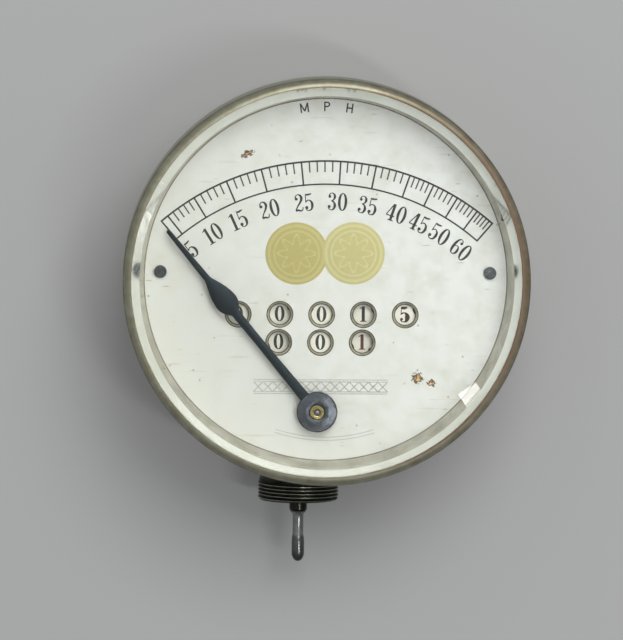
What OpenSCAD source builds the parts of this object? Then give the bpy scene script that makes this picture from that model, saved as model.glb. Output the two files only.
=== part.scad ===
// Round speedometer of the flexible-shaft age: case, glass, dial, pointer, ring governor and mile counters.
// It lies on its flat back. +Z points out of the dial, +Y to the top of the dial and -Y to the drive ferrule.
// The origin is the centre of the flat back.

/* [Case] */
// Outside diameter of the bezel
bezel_d = 101.6; // [100:0.2:106]
// Wall of the bezel
bezel_wall = 1.4; // [1.2:0.1:1.8]
// Length of the skirt that goes over the case
bezel_skirt = 4; // [2:0.5:8]
// Rounding of the bezel's front edge
lip_round = 2.1; // [1.2:0.1:2.4]
// Height of the lip where it grips the glass
lip_h = 1.6; // [1.2:0.1:2]
// How far the lip reaches over the glass
lip_reach = 0.75; // [0.6:0.05:1]
// Wall of the case tube
case_wall = 1.5; // [1.2:0.1:2]
// Width of the shoulder that carries the movement
shoulder_w = 1.5; // [1:0.1:2]
// Height of the case rim over the dial
rim_h = 2.1; // [1:0.1:4]
// Thickness of the rear cover
cover_t = 2; // [1.8:0.1:3]
// Rounding of the rear cover's edge
cover_round = 1; // [0.4:0.1:1.5]
// Thickness of the glass
glass_t = 4.4; // [3.6:0.1:5]
// Width of the glass's bevel, ground at 45 degrees
bevel_w = 2.7; // [2:0.1:3.2]
// Thickness of the rubber gasket under the glass
gasket_t = 0.4; // [0.2:0.1:1]
// Height of the polished wall over the dial
spacer_h = 8.6; // [5.5:0.1:10]
// Foot of the polished wall, measured in from the case tube's bore
spacer_foot = 2.4; // [2:0.1:3]
// Flare of the polished wall, from its foot to its top
spacer_flare = 2.7; // [0.5:0.1:3]

/* [Rear fixing] */
// How far the case lugs stand in from the movement's bore
lug_inset = 2.8; // [2.3:0.1:3.8]
// Radius of a case lug
lug_r = 3.2; // [2.8:0.1:3.6]
// Circle of the three bracket holes
bracket_pcd = 72; // [68:1:74]
// Radius of a bracket hole
bracket_hole_r = 2; // [1.5:0.1:2.4]
// Radius of the boss behind a bracket hole
bracket_boss_r = 4.2; // [3.6:0.1:4.6]
// Height of that boss over the cover
bracket_boss_h = 5; // [2:0.5:8]

/* [Movement frame] */
// Height from the rear cover to the front plate
movement_h = 23; // [23:0.1:26]
// Thickness of the front plate
front_plate_t = 1.4; // [1:0.1:2]
// Gap behind the back plate
back_gap = 1.2; // [0.6:0.1:1.4]
// Thickness of the back plate
back_plate_t = 1.4; // [1:0.1:1.6]
// Radius of a plate pillar
pillar_r = 2; // [1.8:0.1:2.2]
// Radius of the thin shanks of the screws
shank_r = 1.2; // [1:0.1:1.4]
// Length of the screws' shanks under the plate
shank_l = 6; // [4:0.5:8]
// Radius of the plate screws' heads
screw_head_r = 2.2; // [1.8:0.1:2.6]
// Height of the plate screws' heads
screw_head_h = 1; // [0.6:0.1:1]

/* [Dial] */
// Thickness of the dial plate
dial_t = 0.5; // [0.4:0.1:1]
// Space for the number discs between the front plate and the dial
counter_h = 4; // [4:0.1:6]
// Radius of the dial screws' heads
dial_screw_r = 1.6; // [1.2:0.1:2]
// Height of the dial screws' heads
dial_screw_h = 0.7; // [0.5:0.1:1]
// How far the left dial screw stands in from the polished wall
dial_screw_left = 4; // [3.2:0.1:5.2]
// How far the right dial screw stands in from the polished wall
dial_screw_right = 4.3; // [3.2:0.1:5.2]
// Dial screws, y
dial_screw_y = 1.9; // [1:0.1:2.8]
// Radius of the posts that carry the dial
post_r = 2.2; // [2:0.1:2.6]

/* [Counters] */
// Radius of a window
window_r = 3.25; // [2.8:0.05:3.4]
// Depth of the rim behind a window
window_rim_h = 0.6; // [0.3:0.1:0.7]
// Wall of that rim
window_rim_w = 0.4; // [0.3:0.05:0.6]
// How much narrower each window is below its countersink
window_sink = 0.5; // [0.2:0.05:0.6]
// Spacing of the windows
window_pitch = 10.46; // [10.3:0.02:10.6]
// Middle window of the upper row, x
upper_x = -0.95; // [-1.2:0.05:-0.7]
// Upper row of windows, y
upper_y = -8.73; // [-8.85:0.02:-8.45]
// Middle window of the lower row, x
lower_x = -1.2; // [-1.4:0.05:-1]
// Lower row of windows, y
lower_y = -15.77; // [-16.05:0.02:-15.65]
// Distance of the numbers from the centre of their disc
number_at = 5.8; // [5.7:0.02:5.9]
// Radius of a number disc
disc_r = 9; // [8.6:0.05:9.1]
// Thickness of a number disc
disc_t = 0.5; // [0.4:0.05:0.6]
// Step between the two levels of discs
disc_step = 1.2; // [0.9:0.05:1.2]
// Radius of a disc's hub
disc_hub_r = 1.05; // [0.95:0.05:1.1]
// Radius of the studs that the discs turn on
disc_stud_r = 0.6; // [0.4:0.05:0.65]
// Radius of the ten-pointed star wheels and of the carry fingers
star_r = 5; // [4.6:0.05:5]
// Depth of a star wheel's notches
star_notch = 1.6; // [1:0.1:2]
// Thickness of star wheels and carry fingers
carry_t = 0.4; // [0.3:0.05:0.4]

/* [Pointer] */
// Pointer's pivot, x
pivot_x = -2; // [-2.2:0.05:-1.8]
// Pointer's pivot, y
pivot_y = -33; // [-33.2:0.05:-32.8]
// Length from the pivot to the tip
pointer_l = 59; // [55:0.2:62]
// Thickness of the pointer
pointer_t = 0.8; // [0.5:0.1:1.2]
// Height of the pointer over the dial
pointer_gap = 2.2; // [1.5:0.1:3]
// Rest angle of the pointer, left of the vertical
pointer_rest = 39.7; // [36:0.1:42]
// Radius of the pointer's hub
pointer_hub_r = 5.1; // [4:0.1:6]
// Widest half-width of the leaf
leaf_half_w = 2.85; // [2:0.05:4]
// Distance of the leaf's round end from the pivot
leaf_start = 31; // [28:0.5:34]
// Length of the leaf
leaf_l = 15.5; // [10:0.5:18]
// Half-width of the slim point beyond the leaf
point_half_w = 0.75; // [0.5:0.05:1]
// Radius of the pointer arbor
arbor_r = 1.2; // [1:0.05:1.3]
// Radius of the brass bush on the pointer
bush_r = 1.75; // [1.6:0.05:2.4]

/* [Drive] */
// Drive spindle, x
spindle_x = -6; // [-6.2:0.05:-5.9]
// Drive spindle, height over the back
spindle_z = 15.2; // [15:0.05:15.4]
// Radius of the drive spindle
spindle_r = 1.8; // [1.6:0.05:1.9]
// Radius of the ferrule's thread
ferrule_r = 10.2; // [9:0.1:10.4]
// Pitch of the ferrule's thread
thread_pitch = 0.9; // [0.7:0.05:1.2]
// Length of the ferrule beyond the case wall
ferrule_l = 7.9; // [6.5:0.1:14]
// Radius of the spigot through the case wall
spigot_r = 6.5; // [6:0.1:7]
// Radius of the ferrule's bore
ferrule_bore_r = 3.5; // [3.3:0.1:4]
// Radius of the drive tip
tip_r = 1.6; // [1.4:0.05:1.9]
// Length of the drive tip beyond the ferrule
tip_l = 15.6; // [12:0.2:18]
// Radius of the collar at the foot of the drive tip
tip_collar_r = 2.25; // [2:0.05:3]

/* [Speed linkage] */
// Governor ring, y
ring_y = -11.5; // [-11.7:0.1:-11]
// Outer radius of the governor ring
ring_r = 8.4; // [8:0.1:8.5]
// Inner radius of the governor ring
ring_bore_r = 5.8; // [5.7:0.05:5.9]
// Thickness of the governor ring
ring_t = 2.4; // [2:0.1:2.5]
// Tilt of the governor ring at rest
ring_tilt = 42; // [40:0.5:43]
// Radius of the governor's cross pin
ring_pin_r = 0.7; // [0.6:0.05:0.8]
// Radius of the sleeve
sleeve_r = 2.9; // [2.7:0.05:3]
// Radius of the sleeve's flanges
sleeve_flange_r = 4.3; // [4:0.1:4.4]
// Sleeve's groove, y
groove_y = -22.6; // [-22.8:0.05:-22.4]
// Arm of the sector lever, from its stud to the sleeve
lever_arm = 7.9; // [7.7:0.05:8.1]
// Radius of the lever's pin in the groove
lever_pin_r = 0.8; // [0.6:0.05:0.9]
// Turns of the pointer for one turn of the sector lever
sector_ratio = 4; // [3.8:0.1:4.2]

/* [Distance train] */
// Worm wheel, y
wheel_y = 6; // [5.5:0.1:6.5]
// Distance from the spindle to the worm wheel's arbor
worm_centres = 10.9; // [10.6:0.05:11]
// Pitch radius of the worm
worm_r = 2.9; // [2.7:0.05:3]
// Teeth of the worm wheel
wheel_teeth = 50; // [40:1:60]
// Turns of the worm wheel for one turn of the last disc
train_ratio = 5; // [4:0.5:5]
// Radius of the counter arbors
train_arbor_r = 1; // [0.8:0.05:1.05]

/* [Clearances] */
// Radial gap of a turning shaft
running_gap = 0.05; // [0.02:0.01:0.08]
// Radial gap of a fixed shank or bush
seat_gap = 0.03; // [0.02:0.01:0.06]
// Gap of the parts that slip into the case
slip_gap = 0.1; // [0.05:0.01:0.2]
// Gap between teeth, which are cut back so that they never touch
mesh_gap = 0.3; // [0.2:0.05:0.5]

/* [Hidden] */
$fn = 64;

// Radii of the case, from the outside in
bezel_bore = bezel_d / 2 - bezel_wall;
case_r = bezel_bore - slip_gap;
case_bore = case_r - case_wall;
movement_bore = case_bore - shoulder_w;
plate_r = case_bore - 2 * slip_gap;
lug_at = movement_bore - lug_inset;
ferrule_end = case_r + ferrule_l;
glass_r = bezel_bore - slip_gap;
flat_r = glass_r - bevel_w;
lip_r = bezel_d / 2 - lip_round;
lip_in = bezel_bore - lip_reach;
spacer_foot_r = case_bore - spacer_foot;
spacer_top_r = spacer_foot_r + spacer_flare;

// Levels of the case, from the back up
plate_z = cover_t + movement_h;
plate_top = plate_z + front_plate_t;
dial_z = plate_top + counter_h;
dial_top = dial_z + dial_t;
rim_z = dial_top + rim_h;
gasket_z = dial_top + spacer_h;
glass_z = gasket_z + gasket_t;
glass_top = glass_z + glass_t;
grip_z = glass_top + flat_r - lip_in + slip_gap;
lip_z = grip_z + lip_h;
back_z = cover_t + back_gap;
back_top = back_z + back_plate_t;

// Places of the screws and pillars
lug_places = [for (a = [45 : 90 : 315]) lug_at * [cos(a), sin(a)]];
bracket_places = [for (a = [90 : 120 : 330]) bracket_pcd / 2 * [cos(a), sin(a)]];
pillar_places = [[-13, -34], [14, -36.5], [21, 16], [-12, 16]];
dial_screw_places = [[dial_screw_left - spacer_foot_r, dial_screw_y],
                     [spacer_foot_r - dial_screw_right, dial_screw_y]];
cover_head_h = 1.1;
back_plate_low = [-17, -41];
back_plate_high = [25, 20];
back_plate_reach = 41;

// Places of the number discs, left to right, and their levels
upper_disc_y = upper_y + number_at;
lower_disc_y = lower_y - number_at;
upper_places = [for (k = [-2 : 2]) [upper_x + k * window_pitch, upper_disc_y]];
lower_places = [for (k = [-1 : 1]) [lower_x + k * window_pitch, lower_disc_y]];
window_places = concat([for (p = upper_places) [p[0], upper_y]], [for (p = lower_places) [p[0], lower_y]]);
first_gap = 0.25;
carry_step = carry_t + 0.15;
carry_low_z = plate_top + first_gap;
carry_high_z = carry_low_z + carry_step;
low_disc_z = carry_high_z + carry_t + 0.2;
high_disc_z = low_disc_z + disc_step;

// Distance train
total_place = upper_places[4];
trip_place = lower_places[2];
wheel_x = spindle_x + worm_centres;
wheel_place = [wheel_x, wheel_y];
wheel_r = worm_centres - worm_r;
train_centres = norm(total_place - wheel_place);
train_pinion_r = train_centres / (1 + train_ratio);
total_gear_r = train_centres - train_pinion_r;
transfer_r = norm(total_place - trip_place) / 2;
wheel_t = 2.8;
train_t = 1.2;
train_gap = 0.6;
transfer_drop = 2.3;
transfer_z = plate_z - transfer_drop;
total_gear_z = transfer_z - train_gap - train_t;

// Speed linkage
lever_place = [spindle_x + lever_arm, groove_y];
pivot_place = [pivot_x, pivot_y];
sector_centres = norm(pivot_place - lever_place);
pointer_pinion_r = sector_centres / (1 + sector_ratio);
sector_r = sector_centres - pointer_pinion_r;
sector_angle = atan2(pivot_y - lever_place[1], pivot_x - lever_place[0]);
sector_half = 13;
sector_rim = 3;
lever_t = 1.5;
lever_neck_r = 1.4;
lever_z = spindle_z + sleeve_flange_r + 0.5;
crank_mid = [3.6, -2.6];
crank_mid_tilt = 21;
crank_x = crank_mid[0] * cos(crank_mid_tilt) + crank_mid[1] * sin(crank_mid_tilt);
crank_y = crank_mid[1] * cos(crank_mid_tilt) - crank_mid[0] * sin(crank_mid_tilt);
crank_rest_y = crank_x * sin(ring_tilt) + crank_y * cos(ring_tilt);
crank_pin_r = 0.7;
crank_gap = 0.35;
sleeve_top = ring_y + crank_rest_y - crank_pin_r - crank_gap;
flange_t = 1.1;
groove_w = 2 * lever_pin_r + 0.6;
sleeve_end = groove_y - groove_w / 2 - flange_t;
collar_t = 1.2;
collar_y = -30.4;
hairspring_up = 4.4;
hairspring_z = back_top + hairspring_up;
hairspring_r = 6;
collet_r = 1.9;
pointer_z = dial_top + pointer_gap;
bar_half_w = 1.37;

// Drive
nut_y = -(movement_bore - 2.5);
nut_t = 2.5;
pad_r = 9.6;
bush_y = -(ferrule_end - 2);
bush_l = 6;
bearing_y = 12.5;
bearing_t = 3;

// Puts the children at a list of places in the plane of the dial
module at_places(places) {
    for (p = places) translate([p[0], p[1], 0]) children();
}

// Turns the children's +Z to -Y and puts them on the axis of the drive spindle
module on_spindle(y) {
    translate([spindle_x, y, spindle_z]) rotate([90, 0, 0]) children();
}

// Ring of a given height
module tube(outer, inner, h) {
    difference() {
        cylinder(r = outer, h = h);
        translate([0, 0, -1]) cylinder(r = inner, h = h + 2);
    }
}

// Slotted screw, its head's underside at z = 0 and its shank down
module slotted_screw(head_r, head_h, shank, length) {
    slot_w = head_r * 0.3;
    difference() {
        cylinder(r = head_r, h = head_h);
        translate([-head_r - 1, -slot_w / 2, head_h * 0.5]) cube([2 * head_r + 2, slot_w, head_h]);
    }
    translate([0, 0, -length]) cylinder(r = shank, h = length);
}

// Points of one tooth of a wheel
function tooth_points(a, p, tip, root) = [
    for (q = [[-0.32, root], [-0.14, tip], [0.14, tip], [0.32, root]])
        q[1] * [cos(a + q[0] * p), sin(a + q[0] * p)]
];

// Toothed wheel with its teeth cut back from the pitch radius
module toothed_wheel(teeth, r, h, depth) {
    tip = r - mesh_gap / 2;
    p = 360 / teeth;
    linear_extrude(height = h)
        polygon([for (i = [0 : teeth - 1]) for (q = tooth_points(i * p, p, tip, tip - depth)) q]);
}

// Toothed wheel on an arbor, with a bore
module bored_wheel(teeth, r, h, depth, bore) {
    difference() {
        toothed_wheel(teeth, r, h, depth);
        translate([0, 0, -1]) cylinder(r = bore, h = h + 2);
    }
}

// Flat disc that carries ten numbers, with its hub, star wheel and carry finger
module number_disc(place, disc_z, star_z, finger_z) {
    bottom = min([for (z = [star_z, finger_z]) if (z > 0) z]);
    translate([place[0], place[1], 0]) difference() {
        union() {
            translate([0, 0, disc_z]) cylinder(r = disc_r, h = disc_t);
            translate([0, 0, bottom]) cylinder(r = disc_hub_r, h = disc_z - bottom);
            if (star_z > 0) translate([0, 0, star_z]) linear_extrude(height = carry_t)
                polygon([for (i = [0 : 19]) (star_r - (i % 2) * star_notch) * [cos(i * 18), sin(i * 18)]]);
            if (finger_z > 0) translate([-0.5, 0, finger_z]) cube([1, star_r - 0.1, carry_t]);
        }
        translate([0, 0, bottom - 1]) cylinder(r = disc_stud_r + running_gap, h = counter_h);
    }
}

// Turned pieces of the case

module rear_cover() {
    color("dimgray") difference() {
        union() {
            rotate_extrude() polygon(concat(
                [[0, 0]],
                [for (a = [-90 : 15 : 0]) [case_r - cover_round + cover_round * cos(a),
                                           cover_round + cover_round * sin(a)]],
                [[case_r, cover_t], [0, cover_t]]));
            at_places(bracket_places) cylinder(r = bracket_boss_r, h = cover_t + bracket_boss_h);
        }
        at_places(bracket_places) translate([0, 0, -1])
            cylinder(r = bracket_hole_r, h = cover_t + bracket_boss_h + 2);
        at_places(lug_places) translate([0, 0, -1]) {
            cylinder(r = shank_r + slip_gap, h = cover_t + 2);
            cylinder(r = screw_head_r + slip_gap, h = cover_head_h + 1);
        }
    }
}

module rear_cover_screws() {
    color("gray") at_places(lug_places) translate([0, 0, cover_head_h]) mirror([0, 0, 1])
        slotted_screw(screw_head_r, cover_head_h - slip_gap, shank_r, shank_l);
}

module case_shell() {
    color("dimgray") difference() {
        translate([0, 0, cover_t]) cylinder(r = case_r, h = rim_z - cover_t);
        translate([0, 0, plate_z]) cylinder(r = case_bore, h = rim_z);
        difference() {
            translate([0, 0, cover_t - 1]) cylinder(r = movement_bore, h = movement_h + 2);
            at_places(lug_places) cylinder(r = lug_r, h = plate_z);
            on_spindle(nut_y) cylinder(r = pad_r, h = case_r);
        }
        on_spindle(0) cylinder(r = spigot_r + seat_gap, h = case_r + 1);
        at_places(lug_places) cylinder(r = shank_r + seat_gap, h = cover_t + shank_l + 1);
        at_places(lug_places) translate([0, 0, plate_z - shank_l - 1])
            cylinder(r = shank_r + seat_gap, h = shank_l + 2);
    }
}

module bezel() {
    color("darkolivegreen") rotate_extrude($fn = 128) polygon(concat(
        [[bezel_bore, rim_z - bezel_skirt], [bezel_d / 2, rim_z - bezel_skirt]],
        [for (a = [0 : 9 : 90]) [lip_r + lip_round * cos(a), lip_z - lip_round + lip_round * sin(a)]],
        [[lip_in, lip_z - (lip_r - lip_in)], [lip_in, grip_z], [bezel_bore, grip_z - lip_reach]]));
}

module glass_gasket() {
    color("black") translate([0, 0, gasket_z]) tube(glass_r, spacer_top_r, gasket_t);
}

module glass() {
    color("lightcyan", 0.3) rotate_extrude($fn = 128) polygon([
        [0, glass_z], [glass_r, glass_z], [glass_r, glass_top - bevel_w], [flat_r, glass_top],
        [0, glass_top]]);
}

module spacer_ring() {
    foot_out = case_bore - slip_gap;
    color("khaki") rotate_extrude($fn = 128) polygon([
        [spacer_foot_r, dial_top], [foot_out, dial_top], [foot_out, rim_z],
        [glass_r, rim_z], [glass_r, gasket_z], [spacer_top_r, gasket_z]]);
}

// Dial and what carries it

module dial_plate() {
    color("ivory") difference() {
        union() {
            translate([0, 0, dial_z]) cylinder(r = plate_r, h = dial_t);
            at_places(window_places) translate([0, 0, dial_z - window_rim_h])
                cylinder(r = window_r + window_rim_w, h = window_rim_h + dial_t / 2);
        }
        at_places(window_places) translate([0, 0, dial_z - 2 * window_rim_h])
            cylinder(r = window_r - window_sink, h = 2 * (dial_t + window_rim_h));
        at_places(window_places) translate([0, 0, dial_top - window_sink])
            cylinder(r1 = window_r - window_sink, r2 = window_r + window_sink, h = 2 * window_sink);
        at_places([pivot_place]) translate([0, 0, dial_z - 1]) cylinder(r = arbor_r + 0.6, h = dial_t + 2);
        at_places(dial_screw_places) translate([0, 0, dial_z - 1])
            cylinder(r = dial_screw_r / 2 + slip_gap, h = dial_t + 2);
    }
}

module dial_posts() {
    color("tan") at_places(dial_screw_places) difference() {
        union() {
            translate([0, 0, plate_top]) cylinder(r = post_r, h = counter_h);
            translate([0, 0, plate_z]) cylinder(r = shank_r, h = front_plate_t + 1);
        }
        translate([0, 0, dial_z - counter_h * 0.6]) cylinder(r = dial_screw_r / 2 + seat_gap, h = counter_h);
    }
}

module dial_screws() {
    color("dimgray") at_places(dial_screw_places) translate([0, 0, dial_top]) rotate([0, 0, 35])
        slotted_screw(dial_screw_r, dial_screw_h, dial_screw_r / 2, dial_t + counter_h * 0.5);
}

// Frame of the movement

module front_plate() {
    color("darkgoldenrod") difference() {
        translate([0, 0, plate_z]) cylinder(r = plate_r, h = front_plate_t);
        translate([0, 0, plate_z - 1]) {
            at_places(lug_places) cylinder(r = shank_r + slip_gap, h = front_plate_t + 2);
            at_places(pillar_places) cylinder(r = shank_r + slip_gap, h = front_plate_t + 2);
            at_places(dial_screw_places) cylinder(r = shank_r + seat_gap, h = front_plate_t + 2);
            at_places([pivot_place]) cylinder(r = arbor_r + running_gap, h = front_plate_t + 2);
            at_places([total_place, trip_place, wheel_place])
                cylinder(r = train_arbor_r + running_gap, h = front_plate_t + 2);
            at_places(stud_places()) cylinder(r = disc_stud_r + seat_gap, h = front_plate_t + 2);
        }
    }
}

// Places of the discs that turn on fixed studs
function stud_places() = concat([for (k = [0 : 3]) upper_places[k]], [for (k = [0 : 1]) lower_places[k]]);

module front_plate_screws() {
    color("gray") at_places(lug_places) translate([0, 0, plate_top]) rotate([0, 0, 20])
        slotted_screw(screw_head_r, screw_head_h, shank_r, front_plate_t + shank_l);
}

module back_plate() {
    size = back_plate_high - back_plate_low;
    color("darkgoldenrod") difference() {
        intersection() {
            translate([back_plate_low[0], back_plate_low[1], back_z]) cube([size[0], size[1], back_plate_t]);
            translate([0, 0, back_z]) cylinder(r = back_plate_reach, h = back_plate_t);
        }
        translate([0, 0, back_z - 1]) {
            at_places(pillar_places) cylinder(r = shank_r + seat_gap, h = back_plate_t + 2);
            at_places([pivot_place]) cylinder(r = arbor_r + running_gap, h = back_plate_t + 2);
            at_places([total_place, trip_place, wheel_place])
                cylinder(r = train_arbor_r + running_gap, h = back_plate_t + 2);
        }
    }
}

module plate_pillars() {
    color("goldenrod") at_places(pillar_places) difference() {
        union() {
            translate([0, 0, back_top]) cylinder(r = pillar_r, h = plate_z - back_top);
            translate([0, 0, back_z]) cylinder(r = shank_r, h = back_plate_t + 1);
        }
        translate([0, 0, plate_z - shank_l - 1]) cylinder(r = shank_r + seat_gap, h = shank_l + 2);
    }
}

module pillar_screws() {
    color("gray") at_places(pillar_places) translate([0, 0, plate_top]) rotate([0, 0, 70])
        slotted_screw(screw_head_r, screw_head_h, shank_r, front_plate_t + shank_l);
}

// Drive from the flexible shaft

module drive_ferrule() {
    thread_l = ferrule_l * 0.7;
    crest = thread_pitch / 6;
    root = ferrule_r - thread_pitch * 0.55;
    turns = floor(thread_l / thread_pitch);
    barrel = ferrule_end - case_r / 2;
    first = barrel - turns * thread_pitch;
    profile = [for (i = [0 : turns - 1]) for (q = [[-crest, ferrule_r], [crest, ferrule_r],
               [thread_pitch / 2, root]]) [q[1], first + (i + 0.5) * thread_pitch + q[0]]];
    color("darkslategray") difference() {
        union() {
            difference() {
                on_spindle(-case_r / 2) rotate_extrude()
                    polygon(concat([[0, 0], [root, 0], [root, first]], profile, [[0, barrel]]));
                cylinder(r = case_r, h = rim_z);
            }
            on_spindle(nut_y + nut_t) cylinder(r = spigot_r, h = ferrule_end - 3 + nut_y + nut_t);
        }
        on_spindle(0) cylinder(r = ferrule_bore_r, h = ferrule_end + 1);
    }
}

module ferrule_nut() {
    color("darkslategray") on_spindle(nut_y + nut_t) difference() {
        cylinder(r = pad_r - 0.4, h = nut_t, $fn = 6);
        translate([0, 0, -1]) cylinder(r = spigot_r + seat_gap, h = nut_t + 2);
    }
}

module ferrule_bush() {
    color("peru") on_spindle(bush_y + bush_l)
        tube(ferrule_bore_r - seat_gap, spindle_r + running_gap, bush_l);
}

module drive_spindle() {
    thrust_t = 1.5;
    collar_l = 3.2;
    neck_l = 3.5;
    tip_start = ferrule_end + 0.3;
    color("slategray") difference() {
        union() {
            on_spindle(bearing_y + bearing_t) cylinder(r = spindle_r, h = bearing_y + bearing_t + tip_start);
            on_spindle(bush_y + bush_l + thrust_t + slip_gap)
                cylinder(r = ferrule_bore_r - 0.4, h = thrust_t);
            on_spindle(-tip_start) cylinder(r = tip_collar_r, h = collar_l);
            on_spindle(-tip_start) cylinder(r = tip_r * 0.88, h = collar_l + neck_l + 0.5);
            on_spindle(-tip_start - collar_l - neck_l)
                cylinder(r = tip_r, h = tip_l - collar_l - neck_l - tip_r);
            on_spindle(-tip_start - tip_l + tip_r) sphere(r = tip_r);
        }
        translate([spindle_x, ring_y, spindle_z - 2 * spindle_r])
            cylinder(r = ring_pin_r + seat_gap, h = 4 * spindle_r);
    }
}

module spindle_bearing() {
    w = 7;
    color("goldenrod") difference() {
        translate([spindle_x - w / 2, bearing_y, back_top])
            cube([w, bearing_t, spindle_z - back_top + w / 2]);
        on_spindle(bearing_y + bearing_t + 1) cylinder(r = spindle_r + running_gap, h = bearing_t + 2);
    }
}

module worm() {
    pitch = 1.5;
    turns = 6;
    tip = worm_r - mesh_gap / 2;
    profile = [for (i = [0 : turns - 1]) for (q = [[0.5, tip - 0.7], [0.85, tip], [1.15, tip],
               [1.5, tip - 0.7]]) [q[1], (i + q[0] - 0.5) * pitch]];
    l = turns * pitch;
    bore = spindle_r + seat_gap;
    color("slategray") on_spindle(wheel_y + l / 2) rotate_extrude()
        polygon(concat([[bore, 0]], profile, [[bore, l]]));
}

// Governor, lever and pointer

module governor_hub() {
    hub_w = 2;
    color("goldenrod") difference() {
        on_spindle(ring_y + hub_w / 2) tube(spindle_r + 1, spindle_r + seat_gap, hub_w);
        translate([spindle_x, ring_y, 0]) cylinder(r = ring_pin_r + seat_gap, h = plate_z);
    }
}

module governor_pin() {
    color("slategray") translate([spindle_x, ring_y, spindle_z - ring_r + 0.4])
        cylinder(r = ring_pin_r, h = 2 * ring_r - 0.8);
}

module governor_ring() {
    arm_z = 4.9;
    arm_t = 1.2;
    color("darkgoldenrod") translate([spindle_x, ring_y, spindle_z]) rotate([0, 0, ring_tilt]) {
        difference() {
            union() {
                translate([0, ring_t / 2, 0]) rotate([90, 0, 0]) tube(ring_r, ring_bore_r, ring_t);
                translate([crank_x - 0.8, crank_y - crank_pin_r, arm_z])
                    cube([1.6, -crank_y + crank_pin_r - 0.5, arm_t]);
            }
            translate([0, 0, -ring_r - 1]) cylinder(r = ring_pin_r + running_gap, h = 2 * ring_r + 2);
        }
        translate([crank_x, crank_y, 1.5]) cylinder(r = crank_pin_r, h = arm_z - 1);
    }
}

module governor_sleeve() {
    bore = spindle_r + running_gap;
    l = sleeve_top - sleeve_end;
    groove_s = sleeve_top - groove_y - groove_w / 2;
    color("goldenrod") on_spindle(sleeve_top) difference() {
        union() {
            cylinder(r = sleeve_r, h = l);
            cylinder(r = sleeve_flange_r, h = flange_t);
            translate([0, 0, groove_s - flange_t]) cylinder(r = sleeve_flange_r, h = flange_t);
            translate([0, 0, l - flange_t]) cylinder(r = sleeve_flange_r, h = flange_t);
        }
        translate([0, 0, -1]) cylinder(r = bore, h = l + 2);
    }
}

// Points of a ring of the coil spring's wire
function coil_ring(a, r, wire, z, sides) = [
    for (j = [0 : sides - 1]) let (b = j * 360 / sides)
        [(r + wire * cos(b)) * cos(a), (r + wire * cos(b)) * sin(a), z + wire * sin(b)]
];

module governor_spring() {
    turns = 4;
    steps = 16;
    sides = 6;
    wire = 0.35;
    coil_r = spindle_r + 1;
    length = sleeve_end - collar_y - 2 * wire - 0.1;
    n = turns * steps;
    points = [for (i = [0 : n]) for (p = coil_ring(i * 360 / steps, coil_r, wire, i * length / n, sides)) p];
    walls = [for (i = [0 : n - 1]) for (j = [0 : sides - 1]) let (k = (j + 1) % sides)
             for (f = [[i * sides + j, i * sides + k, (i + 1) * sides + k],
                       [i * sides + j, (i + 1) * sides + k, (i + 1) * sides + j]]) f];
    start_cap = [for (j = [1 : sides - 2]) [0, j + 1, j]];
    end_cap = [for (j = [1 : sides - 2]) [n * sides, n * sides + j, n * sides + j + 1]];
    color("silver") on_spindle(sleeve_end - wire - 0.05)
        polyhedron(points = points, faces = concat(walls, start_cap, end_cap));
}

module spring_collar() {
    color("slategray") on_spindle(collar_y) tube(sleeve_flange_r - 1.1, spindle_r + seat_gap, collar_t);
}

module lever_stud() {
    shoulder_r = 2.2;
    color("slategray") at_places([lever_place]) {
        translate([0, 0, back_top]) cylinder(r = shoulder_r, h = lever_z - 0.1 - back_top);
        translate([0, 0, lever_z - 0.2]) cylinder(r = lever_neck_r, h = lever_t + 0.4);
        translate([0, 0, lever_z + lever_t + 0.1]) cylinder(r = shoulder_r, h = 0.5);
    }
}

module sector_lever() {
    hub_r = 2.7;
    arm_w = 2.4;
    web = 2;
    p = 360 / 60;
    teeth = [for (i = [-2 : 2]) for (q = tooth_points(i * p, p, sector_r - mesh_gap / 2,
             sector_r - mesh_gap / 2 - 0.9)) q];
    inner = [for (a = [sector_half : -sector_half : -sector_half])
             (sector_r - sector_rim) * [cos(a), sin(a)]];
    color("goldenrod") translate([lever_place[0], lever_place[1], lever_z]) difference() {
        union() {
            cylinder(r = hub_r, h = lever_t);
            translate([-lever_arm, -arm_w / 2, 0]) cube([lever_arm, arm_w, lever_t]);
            translate([-lever_arm, 0, 0]) cylinder(r = arm_w / 2, h = lever_t);
            translate([-lever_arm, 0, -1.5]) cylinder(r = lever_pin_r, h = 1.5 + lever_t / 2);
            rotate([0, 0, sector_angle]) {
                translate([0, -web / 2, 0]) cube([sector_r - 1.5, web, lever_t]);
                linear_extrude(height = lever_t) polygon(concat(teeth, inner));
            }
        }
        translate([0, 0, -2 * lever_t]) cylinder(r = lever_neck_r + running_gap, h = 5 * lever_t);
    }
}

module pointer_arbor() {
    pinion_t = lever_t + 1;
    color("slategray") at_places([pivot_place]) {
        translate([0, 0, back_z]) cylinder(r = arbor_r, h = pointer_z + pointer_t + 0.6 - back_z);
        translate([0, 0, lever_z - 0.5]) toothed_wheel(15, pointer_pinion_r, pinion_t, 0.7);
        translate([0, 0, hairspring_z - 0.3]) cylinder(r = collet_r, h = 1.4);
    }
}

// Half-width of the pointer at a distance from its pivot: bar, leaf and slim tip
function leaf_share(s) = s < 0.3 ? sin(s / 0.3 * 90) : pow(cos((s - 0.3) / 0.7 * 90), 1.6);
function pointer_half_w(d) =
    d < leaf_start ? bar_half_w * (1 - 0.34 * d / leaf_start) :
    let (part = d / pointer_l)
    let (tip_w = point_half_w * (1 + 1.6 * (0.82 - part)))
    d < leaf_start + leaf_l ? max(tip_w, leaf_half_w * leaf_share((d - leaf_start) / leaf_l)) : tip_w;

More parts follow.
